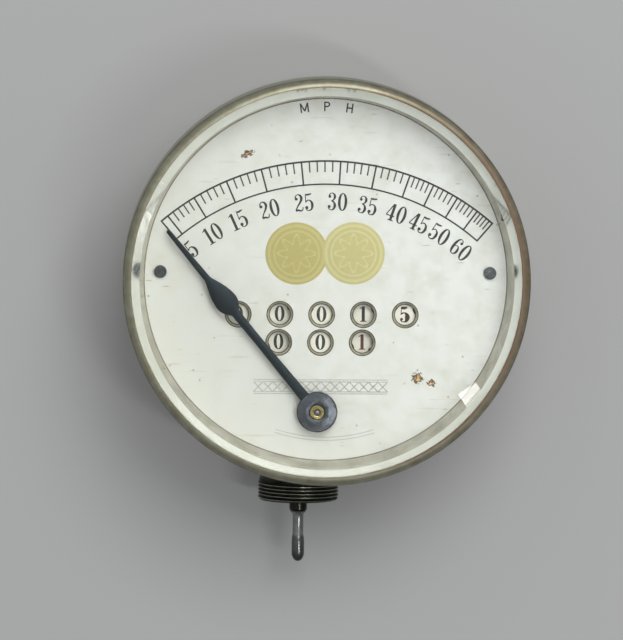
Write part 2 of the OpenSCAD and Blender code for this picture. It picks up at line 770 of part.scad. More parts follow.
module pointer() {
    stops = concat([pointer_hub_r * 0.8], [for (i = [0 : 20]) leaf_start + i * leaf_l / 20], [pointer_l]);
    right = [for (d = stops) [pointer_half_w(d), d]];
    left = [for (i = [len(stops) - 1 : -1 : 0]) [-pointer_half_w(stops[i]), stops[i]]];
    color("darkslateblue") translate([pivot_x, pivot_y, pointer_z]) rotate([0, 0, pointer_rest])
        difference() {
            union() {
                cylinder(r = pointer_hub_r, h = pointer_t);
                linear_extrude(height = pointer_t) polygon(concat(right, left));
            }
            translate([0, 0, -1]) cylinder(r = bush_r - 0.3, h = pointer_t + 2);
        }
}

module pointer_bush() {
    color("gold") translate([pivot_x, pivot_y, 0]) difference() {
        union() {
            translate([0, 0, pointer_z - 0.8]) cylinder(r = bush_r - 0.3 - seat_gap, h = pointer_t + 0.8);
            translate([0, 0, pointer_z + pointer_t]) cylinder(r = bush_r, h = 0.5);
        }
        translate([0, 0, pointer_z - 2 * pointer_t]) cylinder(r = arbor_r + seat_gap, h = 5 * pointer_t);
    }
}

module hairspring() {
    turns = 4.5;
    strip = 0.2;
    steps = 108;
    inner = collet_r + running_gap;
    function coil_r(i) = inner + (hairspring_r - inner) * i / steps;
    function coil_p(i, r) = r * [cos(i * 360 * turns / steps), sin(i * 360 * turns / steps)];
    outline = concat([for (i = [0 : steps]) coil_p(i, coil_r(i))],
                     [for (i = [steps : -1 : 0]) coil_p(i, coil_r(i) + strip)]);
    color("royalblue") translate([pivot_x, pivot_y, hairspring_z]) linear_extrude(height = 0.8)
        polygon(outline);
}

module hairspring_stud() {
    r = 0.7;
    color("slategray") translate([pivot_x - hairspring_r - 0.25 - r, pivot_y, back_top])
        cylinder(r = r, h = hairspring_z + 1.4 - back_top);
}

// Train to the mile counters

module wheel_arbor() {
    color("slategray") at_places([wheel_place]) {
        translate([0, 0, back_z]) cylinder(r = train_arbor_r, h = plate_top - back_z);
        translate([0, 0, total_gear_z - 0.2]) toothed_wheel(18, train_pinion_r, train_t + 0.4, 0.8);
    }
}

module worm_wheel() {
    color("goldenrod") at_places([wheel_place]) translate([0, 0, spindle_z - wheel_t / 2])
        bored_wheel(wheel_teeth, wheel_r, wheel_t, 0.7, train_arbor_r + seat_gap);
}

// Arbor that carries a gear under the front plate and a disc over it
module counter_arbor(place, top) {
    color("slategray") at_places([place]) {
        translate([0, 0, back_z]) cylinder(r = train_arbor_r, h = plate_top + first_gap / 2 - back_z);
        translate([0, 0, plate_top]) cylinder(r = disc_stud_r, h = top - plate_top);
    }
}

module total_arbor() {
    counter_arbor(total_place, high_disc_z + disc_t + 0.2);
}

module total_gear() {
    color("goldenrod") at_places([total_place]) translate([0, 0, total_gear_z])
        bored_wheel(90, total_gear_r, train_t, 0.8, train_arbor_r + seat_gap);
}

module transfer_gear() {
    color("goldenrod") at_places([total_place]) translate([0, 0, transfer_z])
        bored_wheel(60, transfer_r, train_t, 0.8, train_arbor_r + seat_gap);
}

module trip_arbor() {
    counter_arbor(trip_place, low_disc_z + disc_t + 0.2);
}

module trip_gear() {
    color("goldenrod") at_places([trip_place]) translate([0, 0, transfer_z])
        bored_wheel(60, transfer_r, train_t, 0.8, train_arbor_r + seat_gap);
}

module total_thousands_disc() {
    color("white") number_disc(upper_places[0], high_disc_z, carry_high_z, 0);
}

module total_hundreds_disc() {
    color("white") number_disc(upper_places[1], low_disc_z, carry_low_z, carry_high_z);
}

module total_tens_disc() {
    color("white") number_disc(upper_places[2], high_disc_z, carry_high_z, carry_low_z);
}

module total_units_disc() {
    color("white") number_disc(upper_places[3], low_disc_z, carry_low_z, carry_high_z);
}

module total_tenths_disc() {
    color("mistyrose") number_disc(upper_places[4], high_disc_z, 0, carry_low_z);
}

module trip_tens_disc() {
    color("white") number_disc(lower_places[0], low_disc_z, carry_high_z, 0);
}

module trip_units_disc() {
    color("white") number_disc(lower_places[1], high_disc_z, carry_low_z, carry_high_z);
}

module trip_tenths_disc() {
    color("mistyrose") number_disc(lower_places[2], low_disc_z, 0, carry_low_z);
}

module disc_studs() {
    tops = [for (z = [high_disc_z, low_disc_z, high_disc_z, low_disc_z, low_disc_z, high_disc_z])
            z + disc_t + 0.2];
    places = stud_places();
    color("slategray") for (i = [0 : len(places) - 1]) translate([places[i][0], places[i][1], 0]) {
        translate([0, 0, plate_z]) cylinder(r = disc_stud_r, h = tops[i] - plate_z);
        translate([0, 0, plate_top]) cylinder(r = disc_hub_r, h = first_gap / 2);
    }
}

module detent_springs() {
    reach = star_r + 0.4;
    strip = 0.3;
    post = 0.8;
    module detent(place, side) {
        translate([place[0], place[1] + side * (reach + strip / 2), plate_top]) {
            translate([window_pitch / 2, 0, 0]) cylinder(r = post, h = carry_step + carry_t + first_gap);
            translate([-1.5, -strip / 2, first_gap])
                cube([window_pitch / 2 + 1.5, strip, carry_step + carry_t]);
        }
    }
    color("silver") {
        for (p = upper_places) detent(p, 1);
        for (p = lower_places) detent(p, -1);
    }
}

rear_cover();
rear_cover_screws();
case_shell();
bezel();
glass_gasket();
glass();
spacer_ring();
dial_plate();
dial_posts();
dial_screws();
front_plate();
front_plate_screws();
back_plate();
plate_pillars();
pillar_screws();
drive_ferrule();
ferrule_nut();
ferrule_bush();
drive_spindle();
spindle_bearing();
worm();
governor_hub();
governor_pin();
governor_ring();
governor_sleeve();
governor_spring();
spring_collar();
lever_stud();
sector_lever();
pointer_arbor();
pointer();
pointer_bush();
hairspring();
hairspring_stud();
wheel_arbor();
worm_wheel();
total_arbor();
total_gear();
transfer_gear();
trip_arbor();
trip_gear();
total_thousands_disc();
total_hundreds_disc();
total_tens_disc();
total_units_disc();
total_tenths_disc();
trip_tens_disc();
trip_units_disc();
trip_tenths_disc();
disc_studs();
detent_springs();
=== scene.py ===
import math

import bmesh
import bpy
from mathutils import Matrix, Vector


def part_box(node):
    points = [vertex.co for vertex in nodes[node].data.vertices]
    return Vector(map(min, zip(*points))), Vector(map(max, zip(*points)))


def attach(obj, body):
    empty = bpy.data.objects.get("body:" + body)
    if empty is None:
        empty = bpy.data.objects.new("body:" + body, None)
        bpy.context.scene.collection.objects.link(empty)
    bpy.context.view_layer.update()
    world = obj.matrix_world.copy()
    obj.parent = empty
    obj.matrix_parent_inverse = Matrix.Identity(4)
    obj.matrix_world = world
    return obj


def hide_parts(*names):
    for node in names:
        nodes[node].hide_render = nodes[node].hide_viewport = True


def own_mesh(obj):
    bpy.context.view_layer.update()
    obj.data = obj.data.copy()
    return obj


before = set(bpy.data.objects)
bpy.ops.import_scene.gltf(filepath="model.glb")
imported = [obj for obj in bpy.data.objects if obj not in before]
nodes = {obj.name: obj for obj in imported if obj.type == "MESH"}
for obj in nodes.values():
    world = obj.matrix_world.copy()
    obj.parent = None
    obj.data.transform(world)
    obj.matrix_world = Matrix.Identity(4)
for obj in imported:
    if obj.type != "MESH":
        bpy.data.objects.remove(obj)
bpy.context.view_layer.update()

# --- Case shell and rear cover -------------------------------------------------------------------------
# A shallow cup of brass, spun and turned, closed at the back by a flat cover.
# It was nickel plated; the plating has gone dull and olive-grey, browner where it is handled.

MM = 0.001


def linear(colour):
    """An sRGB hex colour as linear RGBA."""
    parts = [int(colour[i:i + 2], 16) / 255 for i in (1, 3, 5)]
    return [c / 12.92 if c <= 0.04045 else ((c + 0.055) / 1.055) ** 2.4 for c in parts] + [1.0]


def feed(tree, node, values):
    """Sets a node's inputs, each to a constant or to another node's output."""
    for key, value in values.items():
        if isinstance(value, bpy.types.NodeSocket):
            tree.links.new(value, node.inputs[key])
        else:
            node.inputs[key].default_value = value


def add(tree, kind, values=None, **settings):
    """Adds a node with its settings and its inputs."""
    node = tree.nodes.new(kind)
    for name, value in settings.items():
        setattr(node, name, value)
    feed(tree, node, values or {})
    return node


def new_finish(name):
    """An empty material with its shader; gives the material, its tree, the shader and Object coordinates."""
    material = bpy.data.materials.new(name)
    material.use_nodes = True
    tree = material.node_tree
    tree.nodes.clear()
    shader = add(tree, "ShaderNodeBsdfPrincipled")
    add(tree, "ShaderNodeOutputMaterial", {"Surface": shader.outputs[0]})
    return material, tree, shader, add(tree, "ShaderNodeTexCoord").outputs["Object"]


def layer(tree, tone, reading, start, end, strong, colour):
    """Lays a colour over a tone, up to a share of it, where a reading goes from one value to another."""
    share = add(tree, "ShaderNodeMapRange",
                {"Value": reading, "From Min": start, "From Max": end, "To Max": strong})
    laid = add(tree, "ShaderNodeMix", {"Factor": share.outputs[0], "A": tone, "B": colour}, data_type="RGBA")
    return laid.outputs["Result"]


def metal(name, clean, stained, rough, patch_mm, grain_mm, dent=0.15, squash=(1, 1, 1)):
    """A metal with stains about patch_mm across and a fine grain that roughens and dents the surface.

    A squash below one draws the grain out along that axis, as turning does.
    """
    material, tree, shader, place = new_finish(name)
    patch = add(tree, "ShaderNodeTexNoise", {"Vector": place, "Scale": 1 / (patch_mm * MM), "Detail": 6,
                                             "Roughness": 0.62})
    tone = layer(tree, linear(clean), patch.outputs[0], 0.35, 0.7, 1.0, linear(stained))
    drawn_out = add(tree, "ShaderNodeMapping", {"Vector": place, "Scale": squash})
    grain = add(tree, "ShaderNodeTexNoise", {"Vector": drawn_out.outputs[0], "Scale": 1 / (grain_mm * MM),
                                             "Detail": 3})
    gloss = add(tree, "ShaderNodeMapRange", {"Value": grain.outputs[0], "From Min": 0.3, "From Max": 0.7,
                                             "To Min": rough - 0.07, "To Max": rough + 0.09})
    bump = add(tree, "ShaderNodeBump", {"Height": grain.outputs[0], "Strength": dent,
                                        "Distance": grain_mm * MM * 0.3})
    feed(tree, shader, {"Base Color": tone, "Metallic": 1.0, "Roughness": gloss.outputs[0],
                        "Normal": bump.outputs[0]})
    return material


def wear(material, *names):
    """Gives CAD nodes their finish."""
    for name in names:
        nodes[name].data.materials.clear()
        nodes[name].data.materials.append(material)


# Dull nickel over brass: soft broad highlights, faint turning lines and faint brown stains
around = (0.02, 0.02, 1)
dull_nickel = metal("dull_nickel_plate", "#b4b1a2", "#9f9987", 0.3, 7, 0.4, dent=0.3, squash=around)
wear(dull_nickel, "case_shell", "rear_cover")

# --- Screws of the cover and of the movement plates ----------------------------------------------------
# Turned slotted screws of plain steel, sunk into the cover and standing on the plates.
# Turning leaves them bright, with a little grey oxide.

plain_steel = metal("turned_steel", "#9a9a98", "#73726e", 0.34, 3, 0.12)
wear(plain_steel, "rear_cover_screws", "front_plate_screws", "pillar_screws")

# --- Drive ferrule -------------------------------------------------------------------------------------
# A steel barrel with an external thread for the coupling nut of the flexible shaft, seated on the case.
# Turned and blackened; the thread's crests are rubbed bright.

spindle_x, spindle_z = -6.0, 15.2
case_r = 49.3
ferrule_end = 57.2
ferrule_r, ferrule_pitch, ferrule_bore = 10.2, 0.9, 3.5


def clean(mesh, gap):
    """Merges points closer than a gap, drops what has no area, closes holes and turns all faces outwards."""
    work = bmesh.new()
    work.from_mesh(mesh)
    bmesh.ops.remove_doubles(work, verts=work.verts, dist=gap)
    bmesh.ops.dissolve_degenerate(work, edges=work.edges, dist=gap)
    bmesh.ops.holes_fill(work, edges=[edge for edge in work.edges if edge.is_boundary])
    bmesh.ops.recalc_face_normals(work, faces=work.faces)
    work.to_mesh(mesh)
    work.free()


def put(name, data):
    """A new object in the scene, for a mesh, a lamp or a camera."""
    obj = bpy.data.objects.new(name, data)
    bpy.context.scene.collection.objects.link(obj)
    return obj


def set_piece(name, mesh, body, slot, *replaced):
    """Puts a finished mesh in the scene as a piece of a body, and hides the CAD nodes that it stands for."""
    piece = put(name, mesh)
    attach(piece, body)
    if replaced:
        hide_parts(*replaced)
    return piece


def worked(name, work):
    """A mesh from finished work."""
    mesh = bpy.data.meshes.new(name)
    work.to_mesh(mesh)
    work.free()
    return mesh


def smooth(mesh, degrees=30):
    """Smooth faces, with edges sharper than an angle kept."""
    mesh.shade_smooth()
    mesh.set_sharp_from_angle(angle=math.radians(degrees))


def shape(name, verts, faces, material, body, slot, *replaced):
    """A piece from points in millimetres and faces between them."""
    mesh = bpy.data.meshes.new(name)
    mesh.from_pydata([(x * MM, y * MM, z * MM) for x, y, z in verts], [], faces)
    clean(mesh, 1e-7)
    smooth(mesh)
    mesh.materials.append(material)
    return set_piece(name, mesh, body, slot, *replaced)


def grid_faces(rows, columns, closed_rows):
    """Faces between rings of points; the last ring joins the first where the section is closed."""
    faces = []
    for i in range(rows if closed_rows else rows - 1):
        a, b = i * columns, (i + 1) % rows * columns
        faces += [(a + j, a + (j + 1) % columns, b + (j + 1) % columns, b + j) for j in range(columns)]
    return faces


def thread_depth(share):
    """Depth of the thread, from 0 at its crest to 1 at its root, over one pitch."""
    away = abs(share % 1 - 0.5) * 2
    return min(1.0, max(0.0, (away - crest_flat) / flank))


thread_l, thread_deep, crest_flat, flank, runout = 5.5, 0.5, 0.22, 0.6, 0.8
seat_sunk, chamfer, chamfer_slope, turns_round, thread_rows = 0.2, 0.5, 1.1, 120, 110
ferrule_points = []
for i in range(thread_rows + 1):
    for j in range(turns_round):
        a = 2 * math.pi * j / turns_round
        x = spindle_x + ferrule_r * math.sin(a)
        seat = -math.sqrt(case_r ** 2 - x ** 2) + seat_sunk
        y = seat + (-ferrule_end - seat) * i / thread_rows
        from_end = y + ferrule_end
        depth = thread_deep * thread_depth(from_end / ferrule_pitch + j / turns_round)
        fade = min(1.0, max(0.0, (thread_l - from_end) / runout))
        edge = max(0.0, chamfer - from_end) * chamfer_slope
        r = ferrule_r - max(depth * fade + thread_deep * (1 - fade), edge)
        ferrule_points.append((spindle_x + r * math.sin(a), y, spindle_z + r * math.cos(a)))
# The face, the bore and the foot, inside the case
inside = [(7.6, -ferrule_end), (7.2, -ferrule_end + 0.5), (4.1, -ferrule_end + 0.5),
          (ferrule_bore, -ferrule_end + 1.0), (ferrule_bore, -46.5), (6.5, -46.5)]
for r, y in inside:
    for j in range(turns_round):
        a = 2 * math.pi * j / turns_round
        ferrule_points.append((spindle_x + r * math.sin(a), y, spindle_z + r * math.cos(a)))

# Blackened steel: dark oxide, bright only where the crests of the thread are rubbed
blackened, tree, shader, place = new_finish("blackened_steel")
centred = add(tree, "ShaderNodeMapping", {"Vector": place, "Location": (-spindle_x * MM, 0, -spindle_z * MM),
                                          "Scale": (1, 0, 1)})
reach = add(tree, "ShaderNodeVectorMath", {0: centred.outputs[0]}, operation="LENGTH")
rub = add(tree, "ShaderNodeTexNoise", {"Vector": place, "Scale": 1 / (1.6 * MM), "Detail": 4})
worn = add(tree, "ShaderNodeMath", {0: rub.outputs[0], 1: 0.3 * MM, 2: reach.outputs["Value"]},
           operation="MULTIPLY_ADD")
crest = add(tree, "ShaderNodeMapRange", {"Value": worn.outputs[0], "From Min": (ferrule_r - 0.02) * MM,
                                         "From Max": (ferrule_r + 0.13) * MM})
soot = add(tree, "ShaderNodeMix", {"Factor": rub.outputs[0], "A": linear("#282a24"), "B": linear("#3c3e35")},
           data_type="RGBA")
tone = add(tree, "ShaderNodeMix", {"Factor": crest.outputs[0], "A": soot.outputs["Result"],
                                   "B": linear("#85867a")}, data_type="RGBA")
gloss = add(tree, "ShaderNodeMapRange", {"Value": crest.outputs[0], "To Min": 0.4, "To Max": 0.28})
grit = add(tree, "ShaderNodeTexNoise", {"Vector": place, "Scale": 1 / (0.25 * MM), "Detail": 2})
bump = add(tree, "ShaderNodeBump", {"Height": grit.outputs[0], "Strength": 0.25, "Distance": 0.06 * MM})
feed(tree, shader, {"Base Color": tone.outputs["Result"], "Metallic": 1.0, "Roughness": gloss.outputs[0],
                    "Normal": bump.outputs[0]})

ferrule_rows = thread_rows + 1 + len(inside)
shape("threaded_ferrule", ferrule_points, grid_faces(ferrule_rows, turns_round, True), blackened, "case",
      "black_steel", "drive_ferrule")
wear(blackened, "ferrule_nut")

# --- Drive spindle and its tip -------------------------------------------------------------------------
# A hardened steel shaft through the movement. Outside it has a dark collar with a bright edge, a thin neck
# and a polished round-ended tip that enters the socket of the flexible shaft.


def turned(name, profile, material, body, slot, *replaced, steps=160, lengthwise=False, centre=(0, 0),
           closed=True):
    """A turned piece: a profile of (radius, height) about Z, or about the spindle's axis where lengthwise."""
    points = []
    for r, h in profile:
        for j in range(steps):
            a = 2 * math.pi * j / steps
            across, up = r * math.cos(a), r * math.sin(a)
            if lengthwise:
                points.append((spindle_x + across, h, spindle_z + up))
            else:
                points.append((centre[0] + across, centre[1] + up, h))
    return shape(name, points, grid_faces(len(profile), steps, closed), material, body, slot, *replaced)


spindle_r, shoulder_r, spindle_top, shoulder_top, shoulder_foot = 1.8, 3.1, 15.5, -47.6, -49.1
tip_from, tip_end, tip_r, tip_round = -57.5, -73.1, 1.6, 2.2
# Radius of the collar, the neck and the swell of the tip, with the distance from the ferrule's face
outside = [(2.05, 0), (2.25, 0.2), (2.25, 2.2), (2.05, 2.35), (2.1, 2.5), (1.95, 2.9), (1.6, 3.2),
           (1.42, 3.5), (1.36, 4.2), (1.36, 8.7), (1.42, 8.9), (1.42, 9.1), (1.5, 9.3), (tip_r, 10.6)]
spindle_profile = [(0.0, spindle_top), (spindle_r - 0.2, spindle_top), (spindle_r, spindle_top - 0.2),
                   (spindle_r, shoulder_top), (shoulder_r, shoulder_top), (shoulder_r, shoulder_foot),
                   (spindle_r, shoulder_foot), (spindle_r, tip_from)]
spindle_profile += [(r, tip_from - along) for r, along in outside]
round_from = tip_end + tip_round
for i in range(11):
    a = math.pi / 2 * i / 10
    spindle_profile.append((tip_r * math.cos(a), round_from - tip_round * math.sin(a)))
dark_steel = metal("dark_polished_steel", "#949796", "#656460", 0.22, 5, 0.2, dent=0.04)
# The collar keeps its dark oxide; the bright shoulder below it, the near-white neck and the lighter tip are
# bright wear with painted highlight on top
tree = dark_steel.node_tree
shader = tree.nodes["Principled BSDF"]
tone = shader.inputs["Base Color"].links[0].from_socket
along = add(tree, "ShaderNodeSeparateXYZ", {0: add(tree, "ShaderNodeTexCoord").outputs["Object"]})
share = add(tree, "ShaderNodeMapRange", {"Value": along.outputs["Y"], "From Min": tip_from * MM,
                                         "From Max": tip_end * MM})
worn = add(tree, "ShaderNodeValToRGB", {"Fac": share.outputs[0]})
for stop, colour in ((0.16, "#5b5a56"), (0.2, "#e8e8e4"), (0.55, "#ffffff"), (0.6, "#b4b8b7")):
    worn.color_ramp.elements.new(stop).color = linear(colour)
worn.color_ramp.elements[0].color = linear("#55544f")
worn.color_ramp.elements[-1].color = linear("#a9adac")
tone = add(tree, "ShaderNodeMix", {"Factor": 1.0, "A": tone, "B": worn.outputs[0]}, data_type="RGBA",
           blend_type="MULTIPLY")
feed(tree, shader, {"Base Color": tone.outputs["Result"]})
turned("spindle_shaft", spindle_profile, dark_steel, "spindle", "dark_polished_steel", "drive_spindle",
       steps=72, lengthwise=True, closed=False)

# --- Movement ------------------------------------------------------------------------------------------
# Two brass plates on pillars carry the governor, the sector lever and the wheels of the counters.
# Sheet and turned brass, brushed and lacquered; arbors, pins and springs are plain steel.

lacquered_brass = metal("lacquered_brass", "#c2a565", "#a3854a", 0.3, 9, 0.2)
wear(lacquered_brass, "front_plate", "back_plate", "plate_pillars", "dial_posts", "spindle_bearing",
     "governor_hub", "governor_ring", "governor_sleeve", "sector_lever", "worm_wheel", "total_gear",
     "transfer_gear", "trip_gear", "ferrule_bush")
wear(plain_steel, "worm", "governor_pin", "spring_collar", "lever_stud", "pointer_arbor", "hairspring_stud",
     "wheel_arbor", "total_arbor", "trip_arbor", "disc_studs", "detent_springs")

# --- Governor spring -----------------------------------------------------------------------------------
# A coil of round steel wire on the spindle, between its collar and the sleeve.
# It shortens towards the collar as the sleeve comes down.

coil_turns, coil_steps, wire_sides, wire_r = 4, 32, 12, 0.35
low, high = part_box("governor_spring")
coil_r = (high[0] - low[0]) / MM / 2 - wire_r
coil_low, coil_l = low[1] / MM + wire_r, (high[1] - low[1]) / MM - 2 * wire_r
coil_points = []
for i in range(coil_turns * coil_steps + 1):
    a = 2 * math.pi * i / coil_steps
    for j in range(wire_sides):
        b = 2 * math.pi * j / wire_sides
        r = coil_r + wire_r * math.cos(b)
        y = coil_low + coil_l * i / (coil_turns * coil_steps) + wire_r * math.sin(b)
        coil_points.append((spindle_x + r * math.cos(a), y, spindle_z + r * math.sin(a)))
coil_faces = grid_faces(coil_turns * coil_steps + 1, wire_sides, False)
coil_faces += [tuple(range(wire_sides)), tuple(range(len(coil_points) - wire_sides, len(coil_points)))]
coil = shape("governor_coil", coil_points, coil_faces, plain_steel, "spindle", "steel", "governor_spring")
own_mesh(coil)

# --- Number discs --------------------------------------------------------------------------------------
# Eight thin enamelled discs turn under the dial and show one figure each in their window.
# The figures are printed in black, or in red on the discs of tenths.

pitch, number_at, figure_h = 10.46, 5.8, 3.95
print_sunk, print_high = 0.01, 0.03
upper_x, upper_y, lower_x, lower_y = -0.95, -8.73, -1.2, -15.77
low_disc_top, high_disc_top = 28.3, 29.5

# Baked enamel: a hard off-white coat, a little yellowed and speckled
disc_enamel, tree, shader, place = new_finish("disc_enamel")
patch = add(tree, "ShaderNodeTexNoise", {"Vector": place, "Scale": 1 / (5 * MM), "Detail": 5})
tone = add(tree, "ShaderNodeMix",
           {"Factor": patch.outputs[0], "A": linear("#e6e5dc"), "B": linear("#d3d1c4")}, data_type="RGBA")
bump = add(tree, "ShaderNodeBump", {"Height": patch.outputs[0], "Strength": 0.1, "Distance": 0.05 * MM})
feed(tree, shader, {"Base Color": tone.outputs["Result"], "Roughness": 0.5, "Normal": bump.outputs[0]})
disc_names = ["total_thousands", "total_hundreds", "total_tens", "total_units", "total_tenths", "trip_tens",
              "trip_units", "trip_tenths"]
wear(disc_enamel, *[name + "_disc" for name in disc_names])


def printing_ink(name, full, thin):
    """Matt ink with thin places half a millimetre across, where the plate took less of it; it also makes the
    painted shade lines.
    """
    material, tree, shader, place = new_finish(name)
    patch = add(tree, "ShaderNodeTexNoise", {"Vector": place, "Scale": 1 / (0.5 * MM), "Detail": 4})
    tone = layer(tree, linear(full), patch.outputs[0], 0.45, 0.75, 1.0, linear(thin))
    feed(tree, shader, {"Base Color": tone, "Roughness": 0.6})
    return material


black_ink = printing_ink("black_printing_ink", "#1d1c1a", "#3a3835")
red_ink = printing_ink("red_printing_ink", "#4e1d18", "#6d342a")
dark_red_ink = printing_ink("dark_red_printing_ink", "#2a0f0d", "#43201a")

# Each figure is drawn one unit high, as strokes of (x, y, width) and balls of (x, y, radius)
THIN, THICK, ball_sides = 0.05, 0.2, 20
figure_strokes = {
    "1": [[(0.26, 0.97, THICK), (0.26, 0.5, THICK), (0.26, 0.03, THICK)],
          [(0.3, 0.96, 0.09), (0.2, 0.9, 0.07), (0.06, 0.84, THIN)],
          [(0.08, 0.03, 0.06), (0.44, 0.03, 0.06)]],
    "2": [[(0.1, 0.72, 0.07), (0.11, 0.87, 0.07), (0.24, 0.97, 0.06), (0.38, 0.9, 0.14), (0.43, 0.74, 0.19),
           (0.36, 0.55, 0.14), (0.2, 0.33, 0.09), (0.07, 0.1, 0.08)],
          [(0.07, 0.06, 0.12), (0.2, 0.1, 0.14), (0.35, 0.05, 0.1), (0.45, 0.1, 0.07), (0.48, 0.25, THIN)]],
    "3": [[(0.08, 0.78, 0.07), (0.13, 0.91, 0.06), (0.25, 0.97, THIN), (0.37, 0.9, 0.12), (0.41, 0.76, 0.18),
           (0.35, 0.6, 0.1), (0.22, 0.53, THIN)],
          [(0.22, 0.53, THIN), (0.37, 0.46, 0.12), (0.43, 0.27, 0.2), (0.36, 0.08, 0.12), (0.24, 0.03, THIN),
           (0.12, 0.08, 0.06), (0.06, 0.22, 0.07)]],
    "4": [[(0.34, 0.97, THICK), (0.34, 0.5, THICK), (0.34, 0.03, THICK)],
          [(0.3, 0.96, 0.07), (0.03, 0.3, 0.06)], [(0.02, 0.28, 0.07), (0.5, 0.28, 0.07)],
          [(0.18, 0.03, 0.06), (0.5, 0.03, 0.06)]],
    "5": [[(0.09, 0.93, 0.1), (0.24, 0.91, 0.13), (0.44, 0.95, 0.08)],
          [(0.11, 0.96, THIN), (0.09, 0.48, THIN)],
          [(0.09, 0.5, 0.06), (0.18, 0.59, 0.07), (0.29, 0.6, 0.07), (0.4, 0.5, 0.14), (0.44, 0.32, 0.2),
           (0.38, 0.1, 0.13), (0.24, 0.03, 0.06), (0.12, 0.07, 0.06), (0.07, 0.2, 0.07)]],
    "6": [[(0.42, 0.8, 0.06), (0.37, 0.92, 0.06), (0.27, 0.97, THIN), (0.15, 0.87, 0.12), (0.09, 0.62, 0.19),
           (0.09, 0.36, 0.2), (0.14, 0.12, 0.13), (0.26, 0.03, THIN), (0.39, 0.12, 0.12), (0.43, 0.29, 0.18),
           (0.38, 0.47, 0.11), (0.27, 0.55, THIN), (0.15, 0.46, THIN)]],
    "7": [[(0.06, 0.9, 0.12), (0.2, 0.93, 0.13), (0.46, 0.94, 0.1)],
          [(0.07, 0.96, THIN), (0.04, 0.7, THIN)],
          [(0.46, 0.94, 0.07), (0.34, 0.65, 0.1), (0.24, 0.35, 0.17), (0.23, 0.03, THICK)]],
}
figure_balls = {"2": [(0.14, 0.73, 0.085)], "3": [(0.13, 0.77, 0.08), (0.12, 0.21, 0.085)],
                "5": [(0.12, 0.2, 0.09)], "6": [(0.38, 0.78, 0.08)]}


def oval(cx, cy, rx, ry, thick, thin):
    """A ring drawn with a broad pen: thick at its sides and thin at its top and foot."""
    points = []
    for k in range(25):
        a = 2 * math.pi * k / 24
        width = thin + (thick - thin) * abs(math.cos(a)) ** 1.3
        points.append((cx + rx * math.cos(a), cy + ry * math.sin(a), width))
    return points


figure_strokes["0"] = [oval(0.28, 0.5, 0.185, 0.47, THICK, THIN)]
figure_strokes["8"] = [oval(0.26, 0.76, 0.13, 0.21, 0.15, THIN), oval(0.26, 0.28, 0.16, 0.25, THICK, THIN)]
figure_strokes["9"] = [[(0.52 - x, 1 - y, w) for x, y, w in stroke] for stroke in figure_strokes["6"]]
figure_balls["9"] = [(0.52 - x, 1 - y, r) for x, y, r in figure_balls["6"]]


def smooth_line(points, parts=6):
    """Points along a smooth curve through the given ones, each with its width."""
    if len(points) < 3:
        return points
    ends = [points[0]] + points + [points[-1]]
    line = []
    for k in range(len(points) - 1):
        a, b, c, d = ends[k:k + 4]
        for i in range(parts):
            t = i / parts
            line.append(tuple(0.5 * (2 * q + (r - p) * t + (2 * p - 5 * q + 4 * r - s) * t * t
                                     + (3 * q - p - 3 * r + s) * t ** 3)
                              for p, q, r, s in zip(a, b, c, d)))
    return line + [points[-1]]


def prism(outline):
    """A flat closed outline raised to one unit: its points and faces."""
    n = len(outline)
    points = [(x, y, z) for z in (0.0, 1.0) for x, y in outline]
    sides = [(i, (i + 1) % n, n + (i + 1) % n, n + i) for i in range(n)]
    return points, sides + [tuple(range(n - 1, -1, -1)), tuple(range(n, 2 * n))]


def stroke_prism(stroke):
    """A stroke of varying width as a closed ribbon: its points and faces."""
    line = smooth_line(stroke)
    closed = math.dist(line[0][:2], line[-1][:2]) < 1e-6
    if closed:
        line = line[:-1]
    n = len(line)
    left, right = [], []
    for i, (x, y, w) in enumerate(line):
        before = line[(i - 1) % n] if closed or i else line[i]
        after = line[(i + 1) % n] if closed or i < n - 1 else line[i]
        dx, dy = after[0] - before[0], after[1] - before[1]
        length = math.hypot(dx, dy)
        left.append((x - dy / length * w / 2, y + dx / length * w / 2))
        right.append((x + dy / length * w / 2, y - dx / length * w / 2))
    points = [(x, y, z) for z in (0.0, 1.0) for side in (left, right) for x, y in side]
    faces = []
    for i in range(n if closed else n - 1):
        k = (i + 1) % n
        faces += [(i, n + i, n + k, k), (2 * n + i, 2 * n + k, 3 * n + k, 3 * n + i),
                  (i, k, 2 * n + k, 2 * n + i), (n + i, 3 * n + i, 3 * n + k, n + k)]
    if not closed:
        faces += [(0, 2 * n, 3 * n, n), (n - 1, 2 * n - 1, 4 * n - 1, 3 * n - 1)]
    return points, faces


def node_group(name, sizes=(), finish=None):
    """A Geometry Nodes tree with named inputs; gives the tree, its entry and the inputs' identifiers."""
    tree = bpy.data.node_groups.new(name, "GeometryNodeTree")
    tree.interface.new_socket("Geometry", in_out="INPUT", socket_type="NodeSocketGeometry")
    kinds = {size: "NodeSocketFloat" for size in sizes}
    if finish:
        kinds[finish] = "NodeSocketMaterial"
    keys = {key: tree.interface.new_socket(key, in_out="INPUT", socket_type=kind).identifier
            for key, kind in kinds.items()}
    tree.interface.new_socket("Geometry", in_out="OUTPUT", socket_type="NodeSocketGeometry")
    return tree, add(tree, "NodeGroupInput"), keys


# A tree that melts the overlapping strokes of a figure into one closed solid
melt, entry, _ = node_group("melt_strokes")
union = add(melt, "GeometryNodeMeshBoolean", {"Mesh 2": entry.outputs[0], "Self Intersection": True},
            operation="UNION", solver="EXACT")
add(melt, "NodeGroupOutput", {0: union.outputs[0]})


def plain_mesh(name, obj):
    """The evaluated object as a plain mesh; the object that carried the modifier is removed."""
    bpy.context.view_layer.update()
    held = obj.evaluated_get(bpy.context.evaluated_depsgraph_get())
    mesh = bpy.data.meshes.new_from_object(held)
    mesh.name = name
    bpy.data.objects.remove(obj)
    return mesh


